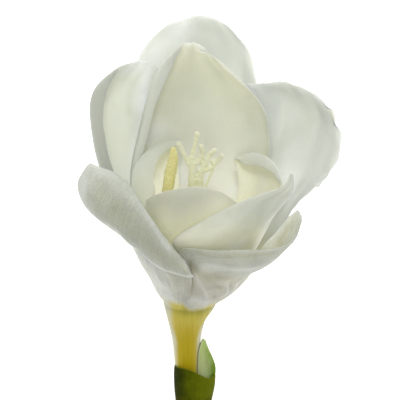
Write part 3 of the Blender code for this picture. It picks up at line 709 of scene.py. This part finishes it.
hoodPetal = dict(
    innerSheet, name="hoodPetal", node="petal_hood", seed=61, base=(138, 42), flare=(138, 42),
    inside=(1.6, 1.6), grid=(220, 130), rowPower=0.65, thick=0.26, thin=0.08, ripple=0.15, pleats=5,
    frill=0.08, smoothTo=0.3, bite=dict(at=0.975, depth=0.3, width=0.011, reach=0.6),
    innerPaintedShading=[
        (1, 3, [(0.36, 0.58), (0.38, 0.64)]), (0.7, 2.4, [(0.4, 0.56), (0.45, 0.5), (0.54, 0.51)]),
        (-0.1, 3, [(0.8, 0.83), (0.82, 0.7)]), (-0.12, 3, [(0.63, 0.9), (0.6, 0.84)]),
        (-0.25, 2, [(0.78, 0.93), (0.82, 0.88)]), (-0.25, 1.3, [(1, 0.93), (1, 0.8), (1, 0.66)]),
        (0.7, 0.8, [(0, 0.6), (0, 0.9), (0.1, 0.97)]), (1, 1.2, [(0.705, 0.455), (0.74, 0.46)]),
        (0.4, 0.7, [(0.05, 0.985), (0.3, 1), (0.6, 1), (0.85, 0.995)]),
    ],
    ribs=[
        [(-12.4, 0.5, 18.9), (-13.1, 0.5, 17.3), (-10, -0.5, 11.5), (0, -2, 8.8), (9.5, -0.5, 11),
         (13, 1, 15)],
        [(-11.2, 10, 20.5), (-13, 11, 19), (-10, 9.5, 12), (0.5, 8, 8.6), (10, 9.5, 11), (14, 11, 15.5)],
        [(-8.8, 19, 21.5), (-10.8, 19, 20.5), (-7.5, 18, 14), (0.8, 17.5, 9.8), (8.5, 18, 11.5),
         (12.4, 19, 15)],
        [(-5.8, 26.2, 21.2), (-7.6, 26.6, 20.2), (-5, 25.5, 16), (-0.5, 25, 12.5), (3.6, 25.5, 13),
         (6.4, 25.6, 14.8)],
        [(-3.9, 30.3, 19.9), (-3.4, 31.1, 19.1), (-2.4, 31.5, 18.2), (-1.2, 31.5, 17.3), (0.1, 31, 16.4),
         (1.5, 30.1, 15.8)],
    ])
addPetal(hoodPetal, hoodSkin)

innerPetalLeft = dict(
    innerSheet, name="innerPetalLeft", node="inner_petal_left", seed=71, base=(187.5, 142.5),
    flare=(185, 138), inside=(2.8, 2.8), grid=(110, 80), ripple=0.1, frill=0.06,
    innerPaintedShading=[(0.8, 2, [(0.48, 0.75), (0.39, 0.69)])],
    ribs=[
        [(-9.8, -4, 22), (-8.8, -3.5, 18.8), (-7.6, -2.8, 16), (-6, -2.2, 14), (-4.2, -2, 12.6)],
        [(-11.6, -1.6, 23.2), (-11.2, 3.6, 20.9), (-9.2, 7.2, 17.7), (-6.8, 9, 15.5), (-4.4, 9.6, 13.8)],
        [(-12.6, -2, 25.6), (-13.3, 5.2, 23.7), (-10.3, 10, 21), (-7, 11.7, 18.5), (-4, 12, 16)],
        [(-8.8, -3, 26.8), (-9.1, 3.8, 25.5), (-8.4, 7.8, 23.5), (-6.6, 9.9, 20.5), (-4, 11.2, 17.5)],
    ])
addPetal(innerPetalLeft, innerPetal)

innerPetalFront = dict(
    innerSheet, name="innerPetalFront", node="inner_petal_front", seed=83, base=(192.5, 241),
    flare=(190, 245), inside=(2.8, 2.8), grid=(110, 90), ripple=0.1, frill=0.06,
    pulls=[((0, 1), (-0.2, -0.1, 0), 0.8), ((0.08, 1), (0, 0.2, 0), 0.5)],
    outerPaintedShading=[(0.25, 2.5, [(0.75, 0.92)])],
    ribs=[
        [(-11, -8, 25), (-8.5, -10, 28), (-5, -11, 29), (-1, -11, 28.6), (2.5, -11, 27.3)],
        [(-11.5, -3.5, 28), (-8, -4.5, 32), (-2.5, -5, 32.6), (3, -5.5, 31.6), (7.5, -6, 29.2)],
        [(-10.5, 0.2, 30), (-6.5, 1.8, 33), (-1, 2.7, 33.5), (4, 1.7, 32), (8, -1, 29)],
    ])
addPetal(innerPetalFront, lowPetal)

innerPetalPointed = dict(
    innerSheet, name="innerPetalPointed", node="inner_petal_pointed", seed=97, base=(246, 317.5),
    flare=(241, 322), inside=(1.6, 1.6), grid=(130, 90), ripple=0.08, frill=0.05,
    outerPaintedShading=[(0.3, 1.5, [(0.49, 0.93)]), (0.1, 2, [(0.6, 0.8), (0.5, 0.88)]),
                (0.8, 1.4, [(0.66, 0.51), (0.6, 0.48)])],
    ribs=[
        [(-4.6, -10.5, 30.6), (-0.5, -12, 31), (4, -12.5, 30), (8, -12, 28), (10.4, -11, 25.5)],
        [(-5, -7.6, 33.2), (0, -7.6, 35.6), (5.5, -7.6, 35.4), (10, -7.4, 32.4), (12.6, -7.2, 28.6)],
        [(5, -1.8, 35.6), (8.2, -2.2, 36.2), (11.2, -2.9, 35.2), (13, -3.5, 32.8), (14.4, -3.8, 29.8)],
        [(12, 1.1, 36.2), (13.6, 0.8, 35.8), (15, 0.4, 34.9), (16.2, 0, 33.4), (17, -0.4, 31.8)],
        [(16.6, 2.9, 35.9), (17.2, 2.8, 35.5), (17.8, 2.6, 34.8), (18.3, 2.4, 34), (18.7, 2.1, 33)],
        [(17.95, 5.3, 35.4), (18.1, 5.3, 35.2), (18.3, 5.2, 34.9), (18.45, 5.1, 34.6), (18.6, 4.9, 34.2)],
    ])
addPetal(innerPetalPointed, pointedSkin)

innerPetalRight = dict(
    innerSheet, name="innerPetalRight", node="inner_petal_right", seed=103, base=(37.5, -38),
    flare=(38, -34), inside=(2.8, 2.8), grid=(110, 80), ripple=0.1, frill=0.06,
    innerPaintedShading=[
        (0.5, 3, [(0.1, 0.76), (0.3, 0.8), (0.45, 0.77)]),
        (0.6, 1.3, [(0.1, 0.93), (0.4, 0.9), (0.75, 0.95)]),
    ],
    pulls=[((0, 1), (0.7, 0.5, -0.3), 1)],
    ribs=[
        [(6.8, -2.5, 13.5), (9.3, -2, 14.5), (11.6, -2.2, 17), (13, -3, 20.5), (13.2, -4.5, 24)],
        [(7.6, 4.5, 15), (10.6, 5.5, 15.8), (13.2, 4.6, 18.5), (15, 2.8, 22), (15.8, 0.4, 26)],
        [(6.8, 8.3, 17), (9.8, 9.3, 18.5), (12.8, 8.6, 21), (15.2, 6.6, 24), (16.6, 3.2, 27.5)],
        [(7.3, 7.2, 17.9), (10, 7, 19.7), (12.4, 6.5, 22.2), (14.7, 5, 25), (16.3, 2.5, 27.9)],
    ])
addPetal(innerPetalRight, rightSkin)
print("ten petals are in place")


def smoothPath(points, share):
    # A natural cubic through (x, y, z, radius) points, read at shares of its length.
    points = np.array(points, float)
    knots = runningTotal(np.linalg.norm(np.diff(points[:, :3], axis=0), axis=1))
    return splineWeights(knots, np.asarray(share) * knots[-1]) @ points


def stalkPart(points, seed, rings, sides, lumps=0.0, rounded=True, flat=1.0, lumpPitch=1.3, lumpsAround=0.8):
    # A circle carried along a path: its plane is square to the path, its radius read from the
    # path, raised and lowered by seeded lumps, flattened by flat, and closed by a point at each end.
    share = np.linspace(0, 1, rings)
    path = smoothPath(points, share)
    step = np.gradient(path[:, :3], axis=0)
    step /= np.linalg.norm(step, axis=1, keepdims=True)
    side = np.cross(step, (0.0, 0.0, 1.0))
    side /= np.linalg.norm(side, axis=1, keepdims=True)
    up = np.cross(side, step)
    turn = np.linspace(0, 2 * math.pi, sides, endpoint=False)
    run = runningTotal(np.linalg.norm(np.diff(path[:, :3], axis=0), axis=1))
    along, across, down = run[:, None] / lumpPitch, np.cos(turn) * lumpsAround, np.sin(turn) * lumpsAround
    bump = softNoise(along, across[None], seed) + softNoise(along, down[None] + 4, seed + 50)
    radius = path[:, 3:4] * (1 + lumps * bump)
    if rounded:                                   # each end closes as a ball does
        ends = np.minimum(run, run[-1] - run) / path[:, 3]
        radius = radius * np.sqrt(np.clip(ends * (2 - np.clip(ends, 0, 1)), 0.02, 1))[:, None]
    ring = np.cos(turn)[None, :, None] * side[:, None] + flat * np.sin(turn)[None, :, None] * up[:, None]
    body = path[:, None, :3] + ring * radius[:, :, None]
    points = np.concatenate([body.reshape(-1, 3), path[:1, :3], path[-1:, :3]])
    index = np.arange(rings * sides).reshape(rings, sides)
    after = np.roll(index, -1, axis=1)
    quads = np.stack([index[:-1], index[1:], after[1:], after[:-1]], -1).reshape(-1, 4)
    first = np.full(sides, rings * sides)
    caps = [np.stack([first, index[0], after[0]], -1), np.stack([first + 1, after[-1], index[-1]], -1)]
    uv = np.stack(np.broadcast_arrays(turn / 2 / math.pi, share[:, None]), -1).reshape(-1, 2)
    return points, quads, np.concatenate(caps), np.concatenate([uv, [[0.5, 0.0], [0.5, 1.0]]])


def meltTogether(piece, voxel, rounds):
    # The stalks' union: a skin over small cells, smoothed a few times.
    skin = piece.modifiers.new("skin", "REMESH")
    skin.mode, skin.voxel_size = "VOXEL", voxel * mm
    soft = piece.modifiers.new("soft", "SMOOTH")
    soft.factor, soft.iterations = 0.5, rounds
    shape = piece.evaluated_get(bpy.context.evaluated_depsgraph_get())
    melted = bpy.data.meshes.new_from_object(shape)
    piece.modifiers.clear()
    piece.data = melted
    melted.shade_smooth()


def addStalks(look, material):
    # Several stalks in one mesh, melted together where the look says so.
    points, faces, uv, count = [], [], [], 0
    for n, path in enumerate(look["paths"]):
        part, quads, caps, places = stalkPart(path, look["seed"] + n, **look["form"])
        points.append(part)
        faces += (quads + count).tolist() + (caps + count).tolist()
        uv.append(places)
        count += len(part)
    piece = addMesh(look["name"], np.concatenate(points), faces, np.concatenate(uv))
    if "melt" in look:
        meltTogether(piece, *look["melt"])
    finishPiece(piece, look, material)


def spottedMaterial(name, dark, light, roughness, glow, scale=900.0, bump=0.3):
    # Two colours mixed by a fine noise, which also raises the surface.
    material, tree, shader = newMaterial(name)
    spots = noise(tree, addNode(tree, "TexCoord").outputs["Object"], scale)
    colour = mixColour(tree, between(tree, spots, 0.3, 0.7), (*dark, 1), (*light, 1))
    finishShader(tree, shader, colour, spots, bump, 0.2, {
        "Roughness": roughness, "Specular IOR Level": 0.3, "Subsurface Weight": glow,
        "Subsurface Radius": (1.0, 0.9, 0.5), "Subsurface Scale": 0.001})
    return material


def tubeMaterial(name, colour):
    # The same yellow as on the petals, over the colour of the tube's rim.
    material, tree, shader = newMaterial(name)
    place = addNode(tree, "TexCoord").outputs
    tint = addNode(tree, "Group", node_tree=tubeTint)
    tree.links.new(place["Object"], tint.inputs["Place"])
    setInputs(tint, {"Color": colour})
    fine = streaks(tree, place["UV"], (60, 2, 1))
    finishShader(tree, shader, tint.outputs["Color"], fine, 0.3, 0.2, {
        "Roughness": 0.5, "Specular IOR Level": 0.3, "Subsurface Weight": 0.7,
        "Subsurface Radius": (1.0, 0.9, 0.4), "Subsurface Scale": 0.0008})
    return material


# Each point of the path is a centre and the tube's outer radius there.
flowerTube = dict(
    name="flowerTube", node="perianth_tube", slot="tube_yellow", wall=0.5, rim=0.06, rings=110, sides=110,
    thinOver=0.25, closing=20, flutes=6, fluteDepth=0.008,
    path=[(-1.9, -19.6, 15.2, 5.46), (-2.0, -20.4, 14.8, 5.25), (-2.3, -22, 13.94, 4.62),
          (-2.62, -23.4, 13.2, 3.95), (-2.72, -24.6, 12.55, 3.55), (-2.75, -26.2, 11.7, 3.15),
          (-2.72, -28, 10.75, 2.8), (-2.7, -31, 9.15, 2.5), (-2.5, -34, 7.57, 2.33), (-2.1, -38, 5.8, 2.1)])


def addTube(look, material):
    # Rings round the tube's axis, down its outer wall and up its inner one, closed in a loop. The
    # wall thins toward the rim, where the petals stand up out of it, and at the tube's foot.
    share = np.linspace(0, 1, look["rings"])
    path = smoothPath(look["path"], share)
    turn = np.linspace(0, 2 * math.pi, look["sides"], endpoint=False)
    ring = np.cos(turn)[None, :, None] * rightOfTube + np.sin(turn)[None, :, None] * backOfTube
    radius = path[:, 3:4] * (1 + look["fluteDepth"] * np.cos(look["flutes"] * turn)[None, :])
    wall = look["rim"] + (look["wall"] - look["rim"]) * smoothStep(share / look["thinOver"])[:, None]
    wall = wall * np.sqrt(np.clip((1 - share) * look["closing"], 0.1, 1))[:, None]
    outer = path[:, None, :3] + ring * radius[:, :, None]
    inner = path[:, None, :3] + ring * (radius - wall)[:, :, None]
    skin = np.concatenate([outer, inner[::-1]])
    index = np.arange(skin.shape[0] * look["sides"]).reshape(skin.shape[0], -1)
    under, after = np.roll(index, -1, axis=0), np.roll(index, -1, axis=1)
    faces = np.stack([index, after, np.roll(under, -1, axis=1), under], -1).reshape(-1, 4)
    down = np.concatenate([share, share[::-1]])
    uv = np.stack(np.broadcast_arrays(turn / 2 / math.pi, down[:, None]), -1)
    finishPiece(addMesh(look["name"], skin.reshape(-1, 3), faces.tolist(), uv.reshape(-1, 2)), look, material)


addTube(flowerTube, tubeMaterial("tubeYellow", (0.78, 0.79, 0.68)))


def bractMaterial(name, look):
    # Green that changes across the bract and up it, with veins along it and a pale skin-like margin.
    material, tree, shader = newMaterial(name)
    place = addNode(tree, "TexCoord").outputs
    u, v, _ = addNode(tree, "SeparateXYZ", {0: place["UV"]}).outputs
    margin = addNode(tree, "Attribute", attribute_name="fromMargin").outputs["Fac"]
    first, last, top, pale = ((*look[part], 1) for part in ("first", "last", "top", "pale"))
    shift = swing(tree, noise(tree, place["Object"], 500.0), 0.24)
    base = mixColour(tree, between(tree, plus(tree, u, shift), *look["across"]), first, last)
    base = mixColour(tree, between(tree, plus(tree, v, shift), *look["up"]), base, top)
    vein = streaks(tree, place["UV"], (46, 1.6, 1), 2.0)
    base = shaded(tree, base, swing(tree, vein, 0.5, 1))
    edge = between(tree, plus(tree, times(tree, margin, marginSpan), shift), look["paleWidth"], 0.0)
    finishShader(tree, shader, mixColour(tree, edge, base, pale), vein, 0.35, 0.2, {
        "Roughness": 0.8, "Specular IOR Level": 0.05, "Subsurface Weight": 0.25,
        "Subsurface Radius": (0.8, 1.0, 0.3), "Subsurface Scale": 0.0005})
    return material


def tubeCross(height, points):
    # Points of a cross-section square to the tube, given as (right, front) from its axis there.
    rise = (height - throat["centre"][1]) * math.tan(throat["tilt"])
    centre = np.array((0.0, height, throat["centre"][2] + rise))
    return [centre + right * rightOfTube - front * backOfTube for right, front in points]


def cupRibs(angles, arcs, rim, count=9):
    # Arcs round the cup's bent line. The last one is drawn up or down along the tube by its rim,
    # which gives the height at some angles.
    ribs = [arcRib(centre, radii, angles, count) for centre, radii in arcs]
    rise = np.interp(np.linspace(*angles, count), *np.array(rim).T)
    ribs[-1] = ribs[-1] + rise[:, None] * alongTube
    return ribs


def addBract(look, material):
    # Cross-sections joined by a smooth surface, thin at its margins.
    rows, columns = look["grid"]
    v, u = np.meshgrid(np.linspace(0, 1, rows), np.linspace(1, 0, columns), indexing="ij")
    points = surfaceOver(look["ribs"], u, v)
    widths, length = spans(points)
    margin = np.minimum(np.minimum(u, 1 - u) * widths[:, None], (1 - v) * length)
    thickness = thicknessFrom(margin, look["thin"], look["thick"], look["marginWidth"])
    piece = addSheet(look["name"], points, thickness, np.stack([u, v], -1), margin, [margin * 0] * 2)
    finishPiece(piece, look, material)


bractSheet = dict(slot="bract_green", thin=0.12, marginWidth=0.6)
outerBract = dict(
    bractSheet, name="outerBract", node="bract_outer", grid=(80, 140), thick=0.5,
    ribs=cupRibs(
        (100, 385),
        [((-1.4, -45.4, 3.5), (2.0, 2.0)), ((-1.35, -43, 4.2), (2.8, 2.8)), ((-1.3, -40, 5.2), (3.35, 3.45)),
         ((-1.15, -37.5, 6.2), (3.75, 3.85)), ((-1.05, -34.3, 7.6), (3.95, 4.0))],
        [(100, 0.6), (180, 1.3), (223, 2.2), (256, 2.5), (285, 1.2), (308, -0.05), (336, -0.5), (385, 0.3)]))
innerBract = dict(
    bractSheet, name="innerBract", node="bract_inner", grid=(110, 70), thick=0.4,
    ribs=[
        tubeCross(-44.5, [(-1.0, -1.2), (0.2, -1.1), (0.6, 0), (0.3, 1.0), (-0.6, 1.4), (-1.2, 1.4)]),
        tubeCross(-40, [(0.0, -2.4), (1.3, -2.0), (1.8, -0.3), (1.4, 1.2), (0.2, 1.8), (-0.9, 1.9)]),
        tubeCross(-36.5, [(0.2, -2.6), (1.9, -2.2), (2.6, -0.4), (2.1, 1.2), (0.9, 1.6), (-0.45, 1.55)]),
        tubeCross(-34, [(0.2, -2.2), (2.0, -2.1), (2.95, -0.4), (2.3, 0.9), (1.0, 1.25), (-0.4, 1.4)]),
        tubeCross(-31.5, [(0.0, -1.6), (1.4, -1.4), (2.2, -0.3), (1.7, 0.6), (0.8, 0.95), (-0.35, 1.3)]),
        tubeCross(-29.5, [(-0.1, -0.9), (0.8, -0.8), (1.35, -0.2), (1.1, 0.4), (0.6, 0.75), (-0.15, 1.15)]),
        tubeCross(-28, [(0.5, -0.3), (0.8, -0.2), (0.95, 0), (0.88, 0.2), (0.7, 0.35), (0.4, 0.5)]),
    ])
cupGreen = bractMaterial("cupGreen", dict(
    first=(0.02, 0.028, 0.0), last=(0.13, 0.155, 0.002), across=(0.34, 0.72), top=(0.07, 0.058, 0.0),
    up=(0.66, 0.4), pale=(0.13, 0.15, 0.01), paleWidth=0.2))
sheathGreen = bractMaterial("sheathGreen", dict(
    first=(0.12, 0.22, 0.004), last=(0.5, 0.57, 0.27), across=(0.5, 0.86), top=(0.46, 0.58, 0.2),
    up=(0.7, 1.0), pale=(0.6, 0.64, 0.44), paleWidth=0.2))
addBract(outerBract, cupGreen)
addBract(innerBract, sheathGreen)

stemGreen = spottedMaterial("stemGreen", (0.05, 0.08, 0.006), (0.1, 0.14, 0.012), roughness=0.45, glow=0.3)
seedOvary = dict(
    name="seedOvary", node="ovary", slot="bract_green", seed=1, form=dict(rings=30, sides=36),
    paths=[[(-2.1, -38.1, 5.9, 0.8), (-2.0, -38.9, 5.5, 1.6), (-1.85, -40.3, 4.95, 2.1),
            (-1.6, -42.2, 4.3, 1.8), (-1.5, -43.7, 3.9, 0.9)]])
cutStem = dict(
    name="cutStem", node="stem", slot="bract_green", seed=1,
    form=dict(rings=60, sides=40, lumps=0.01, rounded=False),
    paths=[[(-1.45, -44.1, 3.75, 1.15), (-1.4, -47, 3.0, 1.25), (-1.2, -50.5, 2.0, 1.3),
            (-1.0, -54, 1.4, 1.35)]])
addStalks(seedOvary, stemGreen)
addStalks(cutStem, stemGreen)

# The style leaves the tube in strands and ends in six stigmas.
branchedStyle = dict(
    name="branchedStyle", node="style", slot="style_cream", seed=3, melt=(0.12, 8),
    form=dict(rings=70, sides=24, lumps=0.12, flat=0.6),
    paths=[
        [(-2.1, -37.5, 6.3, 0.61), (-2.0, -20, 15, 0.68), (-1.8, -3, 23, 0.74), (-1.7, 2, 25.5, 0.74),
         (-1.5, 6.3, 27.6, 0.68), (-1.2, 8.0, 28.3, 0.54)],
        [(-1.4, -16, 17.5, 0.47), (-0.4, -3, 23.2, 0.81), (-0.1, 2.6, 25.8, 0.84), (0.1, 5.6, 27.1, 0.74),
         (0.9, 7.0, 27.8, 0.61)],
        [(0.2, -8, 20.5, 0.27), (1.1, 2.4, 25.6, 0.3), (2.2, 5.3, 27.0, 0.32), (2.7, 6.6, 27.7, 0.41)],
        [(-1.5, 6.0, 27.5, 0.57), (-2.7, 8.2, 28.6, 0.49), (-3.8, 10.3, 29.7, 0.51),
         (-4.4, 11.7, 30.3, 0.57)],
        [(-1.5, 6.6, 27.8, 0.68), (-1.45, 9.2, 28.7, 0.57), (-1.25, 10.2, 29.1, 0.45),
         (-0.8, 12.2, 29.8, 0.51), (-0.5, 13.7, 30.3, 0.68)],
        [(-0.9, 7.0, 27.9, 0.61), (0.3, 8.6, 28.6, 0.57), (0.55, 10.0, 29.4, 0.54), (-0.1, 11.1, 30.2, 0.54)],
        [(0.4, 6.6, 27.7, 0.61), (1.6, 8.3, 28.3, 0.57), (2.5, 9.6, 28.8, 0.57), (3.4, 10.1, 29.1, 0.62)],
        [(0.6, 5.8, 27.3, 0.57), (2.7, 7.0, 27.9, 0.54), (3.8, 8.2, 28.7, 0.51), (4.7, 9.1, 29.4, 0.57)],
        [(1.5, 8.0, 28.2, 0.41), (2.4, 7.9, 28.2, 0.41), (3.3, 7.6, 28.2, 0.41)],
    ])
styleCream = spottedMaterial("styleCream", (0.72, 0.73, 0.54), (0.77, 0.78, 0.6), roughness=0.8, glow=0.6,
                             scale=1200, bump=0.05)
addStalks(branchedStyle, styleCream)

stamen = dict(slot="anther_yellow", form=dict(rings=140, sides=28, lumps=0.02))
leftStamen = dict(
    stamen, name="leftStamen", node="stamen_left", seed=10,
    paths=[[(-5.0, -24, 13, 0.3), (-4.5, -20, 15.2, 0.3), (-4.6, -12, 19.3, 0.3), (-5.4, -5, 22.6, 0.4),
            (-6.3, -2.4, 23.8, 0.85), (-6.5, 1.0, 25.2, 1.1), (-6.2, 3.6, 26.3, 1.15),
            (-5.7, 6.4, 27.4, 1.15), (-5.3, 8.7, 28.3, 0.9), (-5.4, 10.6, 29, 0.35)]])
rightStamen = dict(
    stamen, name="rightStamen", node="stamen_right", seed=11,
    paths=[[(-0.7, -23.4, 11.4, 0.3), (1, -18, 14.3, 0.3), (2.6, -12, 17, 0.3), (3.0, -10, 18, 0.4),
            (3.3, -8.4, 18.8, 0.9), (3.8, -6, 20.1, 1.0), (4.4, -3.4, 21.5, 0.9), (4.9, -1.4, 22.5, 0.4)]])
frontStamen = dict(
    stamen, name="frontStamen", node="stamen_front", seed=11,
    paths=[[(-1.9, -24.8, 15, 0.3), (-1.2, -20, 17.8, 0.3), (0, -14, 21.2, 0.3), (0.3, -12.4, 22.1, 0.4),
            (0.5, -10.8, 22.9, 0.9), (0.8, -8.2, 24.4, 1.0), (1.1, -5.4, 25.9, 0.9), (1.3, -3.4, 27, 0.4)]])
pollenYellow = spottedMaterial("pollenYellow", (0.68, 0.64, 0.27), (0.78, 0.74, 0.38), roughness=0.8,
                               glow=0.5, scale=2200, bump=0.15)
for look in (leftStamen, rightStamen, frontStamen):
    addStalks(look, pollenYellow)
print("tube, bracts, stem, style and stamens are in place")

# The table, the light and the camera. Each key has its place and size in metres, and its power.
stageLook = dict(
    floorSize=3.0, floorColour=(0.9, 0.9, 0.9), floorGlow=0.76, skyStrength=0.33, aim=(0, 0, 0.02),
    keys=dict(softKey=((0.0, 0.26, 0.6), 0.15, 1.65), softFill=((0.0, -0.08, 0.65), 0.3, 0.7)))


def addFloor(look):
    # A pale sheet that also shines a little, so that it stays nearly white.
    half = look["floorSize"] / 2
    mesh = bpy.data.meshes.new("paleTable")
    corners = [(-half, -half, 0), (half, -half, 0), (half, half, 0), (-half, half, 0)]
    mesh.from_pydata(corners, [], [(0, 1, 2, 3)])
    material, _, shader = newMaterial("paleTable")
    setInputs(shader, {"Base Color": look["floorColour"], "Roughness": 0.9, "Specular IOR Level": 0.0,
                       "Emission Color": (1, 1, 1), "Emission Strength": look["floorGlow"]})
    mesh.materials.append(material)
    addObject("paleTable", mesh)


def addSky(look):
    world = bpy.data.worlds.new("studio")
    world.use_nodes = True
    setInputs(world.node_tree.nodes["Background"], {"Color": (1, 1, 1), "Strength": look["skyStrength"]})
    bpy.context.scene.world = world


def addKey(name, place, size, power, aim):
    # A round soft light, turned toward the flower.
    data = bpy.data.lights.new(name, "AREA")
    data.shape, data.size, data.energy = "DISK", size, power
    light = addObject(name, data)
    light.location = place
    light.rotation_euler = (Vector(aim) - Vector(place)).to_track_quat("-Z", "Y").to_euler()


def addCamera():
    # Straight above the middle of the picture, far off with a long lens, so that lines of sight
    # are nearly parallel. The picture is 80 mm wide at the height of the throat.
    pictureWidth, sensor, lens, focusHeight = 0.08, 36.0, 1200.0, 0.02
    data = bpy.data.cameras.new("camera")
    data.lens, data.sensor_width = lens, sensor
    data.clip_start, data.clip_end = 0.1, 10
    camera = addObject("camera", data)
    camera.location = (drawingShift[0] * mm, drawingShift[1] * mm, focusHeight + pictureWidth * lens / sensor)
    bpy.context.scene.camera = camera


addFloor(stageLook)
addSky(stageLook)
for name, (place, size, power) in stageLook["keys"].items():
    addKey(name, place, size, power, stageLook["aim"])
addCamera()
bpy.context.scene.view_settings.view_transform = "Standard"
print("stage, light and camera are ready")
